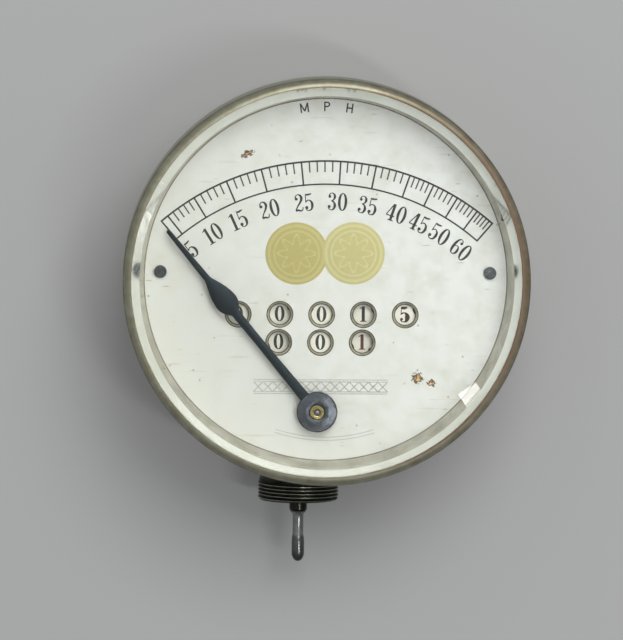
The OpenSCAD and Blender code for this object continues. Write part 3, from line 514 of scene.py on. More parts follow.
def drawn(name, strokes, balls, weight=1.0, stretch=1.0):
    """A figure or letter, one unit high and thick, as a closed mesh; weight widens or thins its stems."""
    work = bmesh.new()
    angles = [2 * math.pi * k / ball_sides for k in range(ball_sides)]
    solids = [stroke_prism([(x * stretch, y, THIN + (w - THIN) * weight) for x, y, w in stroke])
              for stroke in strokes]
    solids += [prism([(x * stretch + r * math.cos(a), y + r * math.sin(a)) for a in angles])
               for x, y, r in balls]
    for points, faces in solids:
        corners = [work.verts.new(p) for p in points]
        for face in faces:
            work.faces.new([corners[i] for i in face])
    bmesh.ops.recalc_face_normals(work, faces=work.faces)
    obj = put(name, worked(name, work))
    if len(strokes) + len(balls) > 1:
        obj.modifiers.new("melt", "NODES").node_group = melt
    melted = plain_mesh(name, obj)
    clean(melted, 0.0005)
    return melted


def figure_set(name, weight=1.0, stretch=1.0):
    """The ten figures in one weight and width."""
    return {key: drawn(name + "_" + key, strokes, figure_balls.get(key, []), weight, stretch)
            for key, strokes in sorted(figure_strokes.items())}


figures = figure_set("figure", stretch=1.15)
bold_figures = figure_set("bold_figure", weight=1.75, stretch=1.15)


def printed(name, marks, level, material, body, slot):
    """Printed marks as one piece: each mark is a mesh, its place, its turn and its height in millimetres."""
    work = bmesh.new()
    for mesh, (x, y), turn, height in marks:
        start = len(work.verts)
        work.from_mesh(mesh)
        work.verts.ensure_lookup_table()
        middle = (min(v.co.x for v in mesh.vertices) + max(v.co.x for v in mesh.vertices)) / 2
        at = Matrix.Translation((x * MM, y * MM, (level - print_sunk) * MM)) @ Matrix.Rotation(turn, 4, "Z")
        size = Matrix.Diagonal((height * MM, height * MM, (print_high + print_sunk) * MM, 1))
        move = at @ size @ Matrix.Translation((-middle, -0.5, 0))
        bmesh.ops.transform(work, matrix=move, verts=work.verts[start:])
    mesh = worked(name, work)
    mesh.materials.clear()
    mesh.materials.append(material)
    set_piece(name, mesh, body, slot)


# Where each disc turns, its level, the figure in its window, which way its figures run and their ink
disc_plan = [(upper_x + k * pitch, upper_y + number_at) for k in (-2, -1, 0, 1, 2)]
disc_plan += [(lower_x + k * pitch, lower_y - number_at) for k in (-1, 0, 1)]
disc_tops = [high_disc_top, low_disc_top] * 4
disc_shows = [0, 0, 0, 1, 5, 0, 0, 1]
disc_order = [1, -1] * 4
disc_inks = [black_ink] * 4 + [dark_red_ink] + [black_ink] * 2 + [red_ink]
disc_figures = [figures] * 4 + [bold_figures] + [figures] * 3
for k, name in enumerate(disc_names):
    upper = name.startswith("total")
    window_side = -math.pi / 2 if upper else math.pi / 2
    marks = []
    for n in range(10):
        a = window_side + disc_order[k] * (n - disc_shows[k]) * math.pi / 5
        spot = (disc_plan[k][0] + number_at * math.cos(a), disc_plan[k][1] + number_at * math.sin(a))
        marks.append((disc_figures[k][str(n)], spot, a - window_side, figure_h))
    printed(name + "_figures", marks, disc_tops[k], disc_inks[k], name, "disc_enamel")

# --- Dial ----------------------------------------------------------------------------------------------
# A brass disc with eight round windows, silvered and lacquered to a satin off-white.
# The lacquer has greyed, is specked and hair-scratched, and three chips show the brass.

dial_top = 30.9
print_foot = dial_top - print_sunk
chips = [((-19.8, 31.5), (1.7, 0.8), 0.4), ((23.2, -24.6), (1.5, 1.45), -0.5),
         ((26.7, -25.8), (1.2, 0.95), 0.3)]
silvered, tree, shader, place = new_finish("silvered_lacquer")
# Painted light: lighter on the right and greyer towards the left and the foot, with broad random patches in
# it
painted_light_slope = add(tree, "ShaderNodeVectorMath", {0: place, 1: (-0.8, -0.35, 0)}, operation="DOT_PRODUCT")
broad = add(tree, "ShaderNodeTexNoise", {"Vector": place, "Scale": 1 / (38 * MM), "Detail": 3})
painted_light_and_patches = add(tree, "ShaderNodeMath", {0: broad.outputs[0], 1: 30 * MM, 2: painted_light_slope.outputs["Value"]},
            operation="MULTIPLY_ADD")
tone = layer(tree, linear("#dbdede"), painted_light_and_patches.outputs[0], -20 * MM, 55 * MM, 1.0, linear("#c9cbc6"))
# Clouds a few millimetres across where the lacquer has greyed
clouds = add(tree, "ShaderNodeTexNoise",
             {"Vector": place, "Scale": 1 / (5 * MM), "Detail": 6, "Roughness": 0.65})
tone = layer(tree, tone, clouds.outputs[0], 0.42, 0.72, 0.7, linear("#c8c9c1"))
# Damp stains about a centimetre across, warm grey with soft edges
damp = add(tree, "ShaderNodeTexNoise",
           {"Vector": place, "Scale": 1 / (11 * MM), "Detail": 8, "Roughness": 0.6, "Distortion": 0.6})
tone = layer(tree, tone, damp.outputs[0], 0.54, 0.72, 0.35, linear("#bcbaac"))
# Specks half a millimetre across, in every third cell of a few millimetres
cells = add(tree, "ShaderNodeTexVoronoi", {"Vector": place, "Scale": 1 / (3.6 * MM), "Randomness": 1})
chosen = add(tree, "ShaderNodeMapRange", {"Value": cells.outputs["Color"], "From Min": 0.55, "From Max": 0.65,
                                          "To Max": 0.7})
speck = add(tree, "ShaderNodeMapRange",
            {"Value": cells.outputs["Distance"], "From Min": 0.05, "From Max": 0.1,
             "To Min": chosen.outputs[0], "To Max": 0})
tone = add(tree, "ShaderNodeMix", {"Factor": speck.outputs[0], "A": tone, "B": linear("#86836f")},
           data_type="RGBA").outputs["Result"]
# Hair scratches and short nicks: noise drawn out along two slanting directions
scratches = [(0.6, 0.05, 0.9, 0.68, 0.45, "#b3b1a1"), (-0.5, 0.16, 0.6, 0.72, 0.7, "#8b887a")]
for turn, drawn_out, across_mm, start, strong, colour in scratches:
    slant = add(tree, "ShaderNodeMapping",
                {"Vector": place, "Rotation": (0, 0, turn), "Scale": (drawn_out, 1, 1)})
    hairs = add(tree, "ShaderNodeTexNoise",
                {"Vector": slant.outputs[0], "Scale": 1 / (across_mm * MM), "Detail": 2})
    tone = layer(tree, tone, hairs.outputs[0], start, start + 0.07, strong, linear(colour))
# Chips: ragged ovals, dark brown at the edge of the lacquer and pale brass inside
ragged = add(tree, "ShaderNodeTexNoise", {"Vector": place, "Scale": 1 / (0.55 * MM), "Detail": 3})
for (x, y), (half_l, half_w), turn in chips:
    spot = add(tree, "ShaderNodeMapping", {"Vector": place, "Location": (x * MM, y * MM, dial_top * MM),
                                           "Rotation": (0, 0, turn),
                                           "Scale": (half_l * MM, half_w * MM, 1)}, vector_type="TEXTURE")
    away = add(tree, "ShaderNodeVectorMath", {0: spot.outputs[0]}, operation="LENGTH")
    edge = add(tree, "ShaderNodeMath", {0: ragged.outputs[0], 1: 2.2, 2: away.outputs["Value"]},
               operation="MULTIPLY_ADD")
    deep = add(tree, "ShaderNodeMapRange", {"Value": edge.outputs[0], "From Min": 1.1, "From Max": 1.9})
    bare = add(tree, "ShaderNodeValToRGB", {"Fac": deep.outputs[0]})
    for stop, colour in ((0.35, "#b08d55"), (0.62, "#6b4a24")):
        bare.color_ramp.elements.new(stop).color = linear(colour)
    bare.color_ramp.elements[0].color = linear("#d9cba2")
    bare.color_ramp.elements[-1].color = linear("#2e2212")
    tone = layer(tree, tone, edge.outputs[0], 2.05, 1.85, 1.0, bare.outputs[0])
satin = add(tree, "ShaderNodeTexNoise", {"Vector": place, "Scale": 1 / (0.35 * MM), "Detail": 2})
gloss = add(tree, "ShaderNodeMapRange", {"Value": satin.outputs[0], "To Min": 0.42, "To Max": 0.6})
bump = add(tree, "ShaderNodeBump", {"Height": satin.outputs[0], "Strength": 0.06, "Distance": 0.03 * MM})
feed(tree, shader, {"Base Color": tone, "Roughness": gloss.outputs[0], "Normal": bump.outputs[0]})
wear(silvered, "dial_plate")

# --- Speed scale ---------------------------------------------------------------------------------------
# Printed on the dial: two arcs joined at their ends, a long mark at each five and four short ones between.
# One pull of black ink; the marks stand closer at both ends of the scale, as a governor gives them.

scale_x, scale_y, outer_arc, inner_arc = 0.14, -33.73, 63.5, 57.7
division = [-40.6, -38.75, -31.55, -23.35, -15.05, -5.85, 3.05, 11.15, 19.05, 24.85, 30.95, 36.35, 40.75]


def on_scale(r, degrees):
    """A point of the dial at a radius and an angle from the scale's middle line, clockwise."""
    a = math.radians(degrees)
    return scale_x + r * math.sin(a), scale_y + r * math.cos(a)


def arc_band(r, width, start, end, parts):
    """A band along an arc as a closed prism between two levels of the dial's print."""
    points = []
    for k in range(parts + 1):
        d = start + (end - start) * k / parts
        (ax, ay), (bx, by) = on_scale(r + width / 2, d), on_scale(r - width / 2, d)
        high = dial_top + print_high
        points += [(ax, ay, print_foot), (ax, ay, high), (bx, by, high), (bx, by, print_foot)]
    faces = []
    for k in range(parts):
        a = 4 * k
        faces += [(a + i, a + (i + 1) % 4, a + 4 + (i + 1) % 4, a + 4 + i) for i in range(4)]
    return points, faces + [(0, 1, 2, 3), (4 * parts, 4 * parts + 3, 4 * parts + 2, 4 * parts + 1)]


for name, r, width in (("scale_outer_line", outer_arc, 0.46), ("scale_inner_line", inner_arc, 0.4)):
    points, faces = arc_band(r, width, division[0] - 0.18, division[-1] + 0.18, 90)
    shape(name, points, faces, black_ink, "case", "dial_enamel")

# Geometry Nodes tree that sets one printed mark at every point, turned as the point says
marks_tree, entry, mark_inputs = node_group("scale_marks", ("Width", "Length", "Height"), "Ink")
size = add(marks_tree, "ShaderNodeCombineXYZ", {key: entry.outputs[name] for key, name in
                                                (("X", "Width"), ("Y", "Length"), ("Z", "Height"))})
bar = add(marks_tree, "GeometryNodeMeshCube", {"Size": size.outputs[0]})
turn = add(marks_tree, "GeometryNodeInputNamedAttribute", {"Name": "turn"}, data_type="FLOAT")
about = add(marks_tree, "ShaderNodeCombineXYZ", {"Z": turn.outputs[0]})
rotation = add(marks_tree, "FunctionNodeEulerToRotation", {0: about.outputs[0]})
bars = add(marks_tree, "GeometryNodeInstanceOnPoints",
           {"Points": entry.outputs[0], "Instance": bar.outputs["Mesh"], "Rotation": rotation.outputs[0]})
solid = add(marks_tree, "GeometryNodeRealizeInstances", {0: bars.outputs[0]})
inked = add(marks_tree, "GeometryNodeSetMaterial",
            {"Geometry": solid.outputs[0], "Material": entry.outputs["Ink"]})
add(marks_tree, "NodeGroupOutput", {0: inked.outputs[0]})


def grown(name, places, level, tree, keys, values):
    """The plain mesh that a tree grows at places of (x, y, turn) on a level."""
    mesh = bpy.data.meshes.new(name)
    mesh.from_pydata([(x * MM, y * MM, level * MM) for x, y, turn in places], [], [])
    turns = mesh.attributes.new("turn", "FLOAT", "POINT")
    turns.data.foreach_set("value", [turn for x, y, turn in places])
    obj = put(name, mesh)
    modifier = obj.modifiers.new("grown", "NODES")
    modifier.node_group = tree
    for key, value in values.items():
        modifier[keys[key]] = value
    return plain_mesh(name, obj)


def ink_marks(name, places, width, length, ink):
    """Printed bars on the dial at places of (x, y, turn)."""
    values = {"Width": width * MM, "Length": length * MM, "Height": (print_high + print_sunk) * MM,
              "Ink": ink}
    mesh = grown(name, places, dial_top + (print_high - print_sunk) / 2, marks_tree, mark_inputs, values)
    set_piece(name, mesh, "case", "dial_enamel")


long_mark, short_mark = outer_arc - inner_arc, 2.75
grey_ink = printing_ink("grey_printing_ink", "#383731", "#5d5b53")
ink_marks("scale_long_marks", [(*on_scale(outer_arc - long_mark / 2, d), -math.radians(d)) for d in division],
          0.42, long_mark, black_ink)
between = [a + (b - a) * k / 5 for a, b in zip(division[1:-1], division[2:]) for k in range(1, 5)]
ink_marks("scale_short_marks",
          [(*on_scale(outer_arc - short_mark / 2, d), -math.radians(d)) for d in between], 0.36, short_mark,
          grey_ink)

# --- Speed figures -------------------------------------------------------------------------------------
# Bold figures with thick stems and thin joins, printed along the inner arc and turned with it.
# Same black ink as the scale.

number_r, number_h, letter_gap = 53.4, 4.5, 0.4
slim_figures = figure_set("slim_figure", weight=0.66)
numbers = [("5", -39.25), ("10", -32.15), ("15", -24.45), ("20", -15.55), ("25", -6.15), ("30", 2.85),
           ("35", 11.05), ("40", 19.05), ("45", 25.65), ("50", 31.95), ("60", 39.05)]


def spread(word, letters, height, gap):
    """Where each letter of a word goes along its line, from the word's middle, in millimetres."""
    widths = [(max(v.co.x for v in letters[c].vertices) - min(v.co.x for v in letters[c].vertices)) * height
              for c in word]
    at, places = -(sum(widths) + gap * (len(word) - 1)) / 2, []
    for width in widths:
        places.append(at + width / 2)
        at += width + gap
    return places


number_marks = []
for word, degrees in numbers:
    x, y = on_scale(number_r, degrees)
    a = -math.radians(degrees)
    for c, along in zip(word, spread(word, slim_figures, number_h, letter_gap)):
        number_marks.append((slim_figures[c], (x + along * math.cos(a), y + along * math.sin(a)), a,
                             number_h))
printed("speed_figures", number_marks, dial_top, black_ink, "case", "dial_enamel")

# --- Unit legend ---------------------------------------------------------------------------------------
# Three widely spaced capitals along the top of the dial say what the scale measures.
# Light block letters in the same ink.

PEN = 0.15
letter_strokes = {
    "M": [[(0.08, 0.0, PEN), (0.08, 1.0, PEN)], [(0.1, 0.95, PEN), (0.45, 0.15, PEN)],
          [(0.45, 0.15, PEN), (0.8, 0.95, PEN)], [(0.82, 0.0, PEN), (0.82, 1.0, PEN)]],
    "P": [[(0.08, 0.0, PEN), (0.08, 1.0, PEN)],
          [(0.08, 0.93, PEN), (0.36, 0.92, PEN), (0.54, 0.82, PEN), (0.54, 0.62, PEN), (0.36, 0.51, PEN),
           (0.08, 0.5, PEN)]],
    "H": [[(0.08, 0.0, PEN), (0.08, 1.0, PEN)], [(0.08, 0.5, PEN), (0.62, 0.5, PEN)],
          [(0.62, 0.0, PEN), (0.62, 1.0, PEN)]],
}
letters = {key: drawn("letter_" + key, strokes, []) for key, strokes in letter_strokes.items()}
legend_r, legend_h, legend_step = 43.4, 2.4, 7.5
legend_marks = []
for c, degrees in zip("MPH", (-legend_step, 0.0, legend_step)):
    a = math.radians(degrees)
    legend_marks.append((letters[c], (legend_r * math.sin(a), legend_r * math.cos(a)), -a, legend_h))
printed("unit_legend", legend_marks, dial_top, black_ink, "case", "dial_enamel")

# --- Printed borders -----------------------------------------------------------------------------------
# A narrow trellis band below the windows and a fine double line along the foot of the dial.
# Common printer's borders in thinned grey ink.

pale_ink = printing_ink("pale_grey_printing_ink", "#a6a7a2", "#c4c4be")
trellis_left, trellis_right, trellis_y, trellis_h, cells = -17.9, 15.7, -26.9, 2.5, 14
cell = (trellis_right - trellis_left) / cells
cross = math.atan2(cell, trellis_h)
ink_marks("trellis_bars", [(trellis_left + (k + 0.5) * cell, trellis_y, lean_of * cross) for k in range(cells)
                           for lean_of in (-1, 1)], 0.3, math.hypot(cell, trellis_h), pale_ink)
ink_marks("trellis_rules",
          [((trellis_left + trellis_right) / 2, trellis_y + side * (trellis_h / 2 + gap), math.pi / 2)
           for side in (-1, 1) for gap in (0.0, 0.5)], 0.22, trellis_right - trellis_left, pale_ink)
foot_lines, foot_reach, foot_parts = (39.6, 40.4), 17.5, 36
foot_angles = [math.radians(-foot_reach + 2 * foot_reach * k / foot_parts) for k in range(foot_parts + 1)]
ink_marks("foot_border",
          [(r * math.sin(a), -r * math.cos(a), a + math.pi / 2) for r in foot_lines for a in foot_angles],
          0.2, 0.72, pale_ink)

# --- Window rims ---------------------------------------------------------------------------------------
# The edge of each window is countersunk before the dial is silvered.
# Worn silvering on the slope; the brown-black lines at its two corners are painted shade where the hole's
# edges fall dark.

window_r, rim_in, rim_deep, rim_thick = 3.25, 2.73, 0.5, 0.04
windows = [(upper_x + k * pitch, upper_y, 0.0) for k in (-2, -1, 0, 1, 2)]
windows += [(lower_x + k * pitch, lower_y, 0.0) for k in (-1, 0, 1)]
# Painted shade: near-black ink for the dark lines round the windows and for the dark recess in the arbor's
# rivet
painted_shade_ink = printing_ink("painted_shade_edge", "#29251c", "#4b4435")
worn_silver = metal("worn_silvering", "#b5b29d", "#827d68", 0.42, 1.5, 0.2)
tree = worn_silver.node_tree
feed(tree, tree.nodes["Principled BSDF"], {"Metallic": 0.2})

# Geometry Nodes tree that sets one closed ring with a sloping face at every point
rim_tree, entry, rim_inputs = node_group("window_rims", ("Top", "Foot", "Height", "Thickness"), "Finish")
cone = add(rim_tree, "GeometryNodeMeshCone", {"Vertices": 72, "Radius Top": entry.outputs["Top"],
                                              "Radius Bottom": entry.outputs["Foot"],
                                              "Depth": entry.outputs["Height"]}, fill_type="NONE")
down = add(rim_tree, "ShaderNodeVectorMath", {0: (0, 0, -1), "Scale": entry.outputs["Thickness"]},
           operation="SCALE")
under = add(rim_tree, "GeometryNodeExtrudeMesh", {"Mesh": cone.outputs["Mesh"], "Offset": down.outputs[0],
                                                  "Offset Scale": 1.0, "Individual": False})
upper_face = add(rim_tree, "GeometryNodeFlipFaces", {"Mesh": cone.outputs["Mesh"]})
shell = add(rim_tree, "GeometryNodeJoinGeometry")
for part in (under, upper_face):
    rim_tree.links.new(part.outputs["Mesh"], shell.inputs[0])
ring = add(rim_tree, "GeometryNodeMergeByDistance", {"Geometry": shell.outputs[0], "Distance": 1e-7})
spread_out = add(rim_tree, "GeometryNodeInstanceOnPoints",
                 {"Points": entry.outputs[0], "Instance": ring.outputs[0]})
solid = add(rim_tree, "GeometryNodeRealizeInstances", {0: spread_out.outputs[0]})
done = add(rim_tree, "GeometryNodeSetMaterial",
           {"Geometry": solid.outputs[0], "Material": entry.outputs["Finish"]})
add(rim_tree, "NodeGroupOutput", {0: done.outputs[0]})
# Each ring's radius and level at its foot and at its top
slope_foot = dial_top - rim_deep
# The outer and inner lines are painted shade at the two edges of each hole
rings = [("window_outer_shade_lines", window_r + 0.24, window_r - 0.12, print_foot, dial_top + 0.02, painted_shade_ink),
         ("window_slopes", rim_in, window_r - 0.05, slope_foot, dial_top + 0.01, worn_silver),
         ("window_inner_shade_lines", rim_in - 0.2, rim_in, slope_foot - 0.1, slope_foot, painted_shade_ink)]
for name, foot_r, top_r, foot_z, top_z, finish in rings:
    values = {"Top": top_r * MM, "Foot": foot_r * MM, "Height": (top_z - foot_z) * MM,
              "Thickness": rim_thick * MM, "Finish": finish}
    mesh = grown(name, windows, foot_z, rim_tree, rim_inputs, values)
    clean(mesh, 1e-7)
    smooth(mesh)
    set_piece(name, mesh, "case", "dial_enamel")

# --- Gilt roundels -------------------------------------------------------------------------------------
# Two plain gilt discs printed side by side on the dial, the right one over the left.
# Bronze powder in varnish: pale olive gold, with a faint tooled rosette and rings in it.

roundel_r = 7.8
roundels = [("gilt_roundel_left", (-7.37, 6.56), 0.02, "#b1a96a", "#9c9359", "#bdb681"),
            ("gilt_roundel_right", (6.91, 6.67), 0.05, "#bbb57f", "#aba46d", "#cac59b")]
for name, (x, y), lift, light_gilt, dark_gilt, rubbed in roundels:
    gilt, tree, shader, place = new_finish(name.replace("roundel", "bronze_varnish"))
    centred = add(tree, "ShaderNodeMapping",
                  {"Vector": place, "Location": (-x * MM, -y * MM, 0), "Scale": (1, 1, 0)})
    flat = add(tree, "ShaderNodeSeparateXYZ", {0: centred.outputs[0]})
    reach = add(tree, "ShaderNodeVectorMath", {0: centred.outputs[0]}, operation="LENGTH")
    angle = add(tree, "ShaderNodeMath", {0: flat.outputs[1], 1: flat.outputs[0]}, operation="ARCTAN2")
    # Rosette of eight petals, then two rings
    lobes = add(tree, "ShaderNodeMath", {0: angle.outputs[0], 1: 8.0}, operation="MULTIPLY")
    wave = add(tree, "ShaderNodeMath", {0: lobes.outputs[0]}, operation="COSINE")
    petal = add(tree, "ShaderNodeMath", {0: wave.outputs[0], 1: 1.1 * MM, 2: 3.6 * MM},
                operation="MULTIPLY_ADD")
    off = add(tree, "ShaderNodeMath", {0: reach.outputs["Value"], 1: petal.outputs[0]}, operation="SUBTRACT")
    off = add(tree, "ShaderNodeMath", {0: off.outputs[0]}, operation="ABSOLUTE")
    lines = add(tree, "ShaderNodeMapRange",
                {"Value": off.outputs[0], "From Min": 0.5 * MM, "From Max": 0.15 * MM})
    mask = lines.outputs[0]
    for ring, half in ((5.6, 0.22), (6.9, 0.3)):
        off = add(tree, "ShaderNodeMath", {0: reach.outputs["Value"], 1: ring * MM}, operation="SUBTRACT")
        off = add(tree, "ShaderNodeMath", {0: off.outputs[0]}, operation="ABSOLUTE")
        line = add(tree, "ShaderNodeMapRange", {"Value": off.outputs[0], "From Min": half * 1.6 * MM,
                                                "From Max": half * 0.6 * MM})
        mask = add(tree, "ShaderNodeMath", {0: mask, 1: line.outputs[0]}, operation="MAXIMUM").outputs[0]
    grain = add(tree, "ShaderNodeTexNoise",
                {"Vector": place, "Scale": 1 / (1.1 * MM), "Detail": 6, "Roughness": 0.7})
    base = add(tree, "ShaderNodeMix",
               {"Factor": grain.outputs[0], "A": linear(light_gilt), "B": linear(dark_gilt)},
               data_type="RGBA")
    pale = add(tree, "ShaderNodeMath", {0: mask, 1: 0.45}, operation="MULTIPLY")
    tone = add(tree, "ShaderNodeMix", {"Factor": pale.outputs[0], "A": base.outputs["Result"],
                                       "B": linear(rubbed)}, data_type="RGBA")
    bump = add(tree, "ShaderNodeBump", {"Height": mask, "Strength": 0.15, "Distance": 0.05 * MM})
    feed(tree, shader, {"Base Color": tone.outputs["Result"], "Metallic": 0.15, "Roughness": 0.5,
                        "Normal": bump.outputs[0]})
    top = dial_top + lift
    roundel_profile = [(0, print_foot), (roundel_r, print_foot), (roundel_r, top - 0.01),
                       (roundel_r - 0.1, top), (0, top)]
    turned(name, roundel_profile, gilt, "case", "dial_enamel", steps=96, centre=(x, y), closed=False)

# --- Dial screws ---------------------------------------------------------------------------------------
# Two small slotted cheese-head screws hold the dial to its posts.
# Blued steel gone dark grey, its slot worn by screwdrivers.

grey_steel = metal("dark_grey_steel", "#555a5e", "#383939", 0.34, 0.6, 0.15)
wear(grey_steel, "dial_screws")

# --- Pointer -------------------------------------------------------------------------------------------
# A leaf-shaped hand cut from sheet steel, its edges stoned round, with a boss for the arbor.
# Blued by heat: blue-black, with a green-blue sheen where it turns to the light.

pivot_x, pivot_y, pointer_z, pointer_t, pointer_rest = -2.0, -33.0, 33.1, 0.8, 39.7
hub_r, leaf_start, leaf_l, pointer_l = 5.1, 31.0, 15.5, 59.0
bar_half, bar_taper, neck_half = 1.37, 0.34, 1.34
leaf_half, leaf_foot, leaf_widest, leaf_fall = 2.85, 0.9, 0.3, 1.6
point_half, point_taper, point_middle, tip_half, edge_r = 0.75, 1.6, 0.82, 0.3, 0.14


def pointer_half_width(d):
    """Half-width of the hand at a distance from its pivot: tapering bar, leaf, slim point."""
    if d < leaf_start:
        return bar_half * (1 - bar_taper * d / leaf_start)
    point = point_half * (1 + point_taper * (point_middle - d / pointer_l))
    if d > leaf_start + leaf_l:
        return point
    s = (d - leaf_start) / leaf_l
    if s < leaf_widest:
        share = math.sin(s / leaf_widest * math.pi / 2)
    else:
        share = math.cos((s - leaf_widest) / (1 - leaf_widest) * math.pi / 2) ** leaf_fall
    return max(point, leaf_foot * (1 - s) ** 6, leaf_half * share)


side = []
neck = math.asin(neck_half / hub_r)
for k in range(13):
    a = neck + (math.pi - neck) * (12 - k) / 12
    side.append((hub_r * math.sin(a), hub_r * math.cos(a)))
stops = [hub_r + 2, 14, 22, leaf_start] + [leaf_start + leaf_l * k / 24 for k in range(1, 25)]
stops += [0.9 * pointer_l, pointer_l - tip_half]
side += [(pointer_half_width(d), d) for d in stops] + [(tip_half, pointer_l)]
outline = side + [(-x, y) for x, y in reversed(side[1:])]
blued, tree, shader, place = new_finish("blued_steel")
flow = add(tree, "ShaderNodeTexNoise", {"Vector": place, "Scale": 1 / (6 * MM), "Detail": 4})
tone = add(tree, "ShaderNodeMix", {"Factor": flow.outputs[0], "A": linear("#182126"), "B": linear("#232c31")},
           data_type="RGBA")
stone = add(tree, "ShaderNodeTexNoise", {"Vector": place, "Scale": 1 / (0.3 * MM), "Detail": 2})
gloss = add(tree, "ShaderNodeMapRange", {"Value": stone.outputs[0], "To Min": 0.3, "To Max": 0.46})
bump = add(tree, "ShaderNodeBump", {"Height": stone.outputs[0], "Strength": 0.08, "Distance": 0.03 * MM})
feed(tree, shader, {"Base Color": tone.outputs["Result"], "Metallic": 0.85, "Roughness": gloss.outputs[0],
                    "Normal": bump.outputs[0]})

work = bmesh.new()
rest = math.radians(pointer_rest)
for x, y in outline:
    work.verts.new(((pivot_x + x * math.cos(rest) - y * math.sin(rest)) * MM,
                    (pivot_y + x * math.sin(rest) + y * math.cos(rest)) * MM, pointer_z * MM))
work.faces.new(work.verts)
bmesh.ops.recalc_face_normals(work, faces=work.faces)
raised = bmesh.ops.extrude_face_region(work, geom=work.faces[:])
bmesh.ops.translate(work, vec=(0, 0, pointer_t * MM), verts=[v for v in raised["geom"]
                                                             if isinstance(v, bmesh.types.BMVert)])
bmesh.ops.recalc_face_normals(work, faces=work.faces)
mesh = worked("pointer_hand", work)
mesh.materials.append(blued)
hand = put("pointer_hand", mesh)
stoned = hand.modifiers.new("stoned_edges", "BEVEL")
stoned.width, stoned.segments = edge_r * MM, 2
stoned.limit_method, stoned.angle_limit = "ANGLE", math.radians(40)
stoned.use_clamp_overlap = True
mesh = plain_mesh("pointer_hand", hand)
smooth(mesh, 35)
set_piece("pointer_hand", mesh, "pointer", "blued_steel", "pointer")
wear(blued, "hairspring")

# --- Pointer bush --------------------------------------------------------------------------------------
# A turned brass collar pressed on the arbor, holding the hand; the arbor's end shows in its middle.
# Bright brass with fine turning marks.

bright_brass = metal("bright_turned_brass", "#c2b57e", "#988a54", 0.24, 2, 0.1)
hub_steel = metal("worn_blued_steel", "#5c6168", "#484c52", 0.3, 1.5, 0.2)
# Profiles of radius and height about the pivot
turned("hub_dish",
       [(4.95, 33.85), (4.8, 33.97), (3.6, 34.0), (3.3, 34.06), (2.3, 34.1), (2.05, 34.02), (1.9, 33.85)],
       hub_steel, "pointer", "blued_steel", steps=96, centre=(pivot_x, pivot_y))
turned("pointer_collar", [(1.23, 32.3), (1.42, 32.3), (1.42, 33.9), (1.7, 33.9), (1.75, 33.95), (1.75, 34.3),
                          (1.62, 34.4), (1.36, 34.4), (1.23, 34.3)], bright_brass, "pointer", "bright_brass",
       "pointer_bush", steps=64, centre=(pivot_x, pivot_y))
turned("arbor_rivet", [(1.24, 34.35), (1.24, 34.5), (1.12, 34.57), (0.95, 34.52)], bright_brass, "pointer",
       "bright_brass", steps=48, centre=(pivot_x, pivot_y))
# Painted shade: a near-black disc round the arbor's tip stands for the dark recess inside the rivet
turned("arbor_end", [(0, 34.5), (0.97, 34.5), (0.97, 34.53), (0, 34.53)], painted_shade_ink, "pointer", "steel",
       steps=48, centre=(pivot_x, pivot_y), closed=False)
turned("arbor_tip", [(0, 34.52), (0.46, 34.52), (0.4, 34.62), (0.22, 34.7), (0, 34.72)], plain_steel,
       "pointer", "steel", steps=32, centre=(pivot_x, pivot_y), closed=False)

# --- Polished wall -------------------------------------------------------------------------------------
# A turned brass ring stands on the dial's edge and carries the glass; its flared inside is polished.
# Nickelled and bright enough to mirror the dial, with a warm yellow-grey cast.

case_bore, glass_r = 47.8, 49.3
foot_r, wall_top_r = 45.4, 47.9
rim_z, gasket_z, glass_z, glass_top, bevel = 33.0, 39.5, 39.9, 44.3, 2.7
polished = metal("polished_nickel", "#cbc8be", "#a9a598", 0.08, 6, 0.4, dent=0.03)
wall_profile = [(foot_r, dial_top), (case_bore - 0.1, dial_top), (case_bore - 0.1, rim_z), (glass_r, rim_z),
                (glass_r, gasket_z), (wall_top_r, gasket_z)]
turned("polished_wall", wall_profile, polished, "case", "polished_wall", "spacer_ring", steps=256)
# Painted shade: a thin brown-black ring on the dial where the wall stands on it
painted_foot_shade = printing_ink("painted_foot_shade", "#5c4a36", "#a59780")
foot_shade_profile = [(foot_r - 0.12, print_foot), (foot_r - 0.12, dial_top + 0.02),
                 (foot_r + 0.06, dial_top + 0.04), (foot_r + 0.06, print_foot)]
turned("wall_foot_shade", foot_shade_profile, painted_foot_shade, "case", "dial_enamel", steps=256)

# --- Gasket --------------------------------------------------------------------------------------------
# A thin rubber ring under the glass keeps dust out.
# Black, matt and a little perished.

rubber, tree, shader, place = new_finish("perished_rubber")
crumb = add(tree, "ShaderNodeTexNoise", {"Vector": place, "Scale": 1 / (0.4 * MM), "Detail": 4})
tone = add(tree, "ShaderNodeMix",
           {"Factor": crumb.outputs[0], "A": linear("#2a2924"), "B": linear("#47433a")}, data_type="RGBA")
bump = add(tree, "ShaderNodeBump", {"Height": crumb.outputs[0], "Strength": 0.4, "Distance": 0.08 * MM})
feed(tree, shader, {"Base Color": tone.outputs["Result"], "Roughness": 0.8, "Normal": bump.outputs[0]})
wear(rubber, "glass_gasket")

# --- Glass ---------------------------------------------------------------------------------------------
# A thick round of plate glass with a bevel ground at 45 degrees, gripped by the bezel.
# Clear; through the bevel the edge of the dial shows a second time.


def clear_glass(name, colour, rough):
    """Clear glass that lets lamplight through to what lies behind it."""
    material = bpy.data.materials.new(name)
    material.use_nodes = True
    tree = material.node_tree
    tree.nodes.clear()
    body = add(tree, "ShaderNodeBsdfPrincipled",
               {"Base Color": linear(colour), "Roughness": rough, "IOR": 1.5, "Transmission Weight": 1.0})
    open_air = add(tree, "ShaderNodeBsdfTransparent", {"Color": linear("#f7f8f5")})
    path = add(tree, "ShaderNodeLightPath")
    lit = add(tree, "ShaderNodeMixShader", {0: path.outputs["Is Shadow Ray"], 1: body.outputs[0],
                                            2: open_air.outputs[0]})
    add(tree, "ShaderNodeOutputMaterial", {"Surface": lit.outputs[0]})
    return material


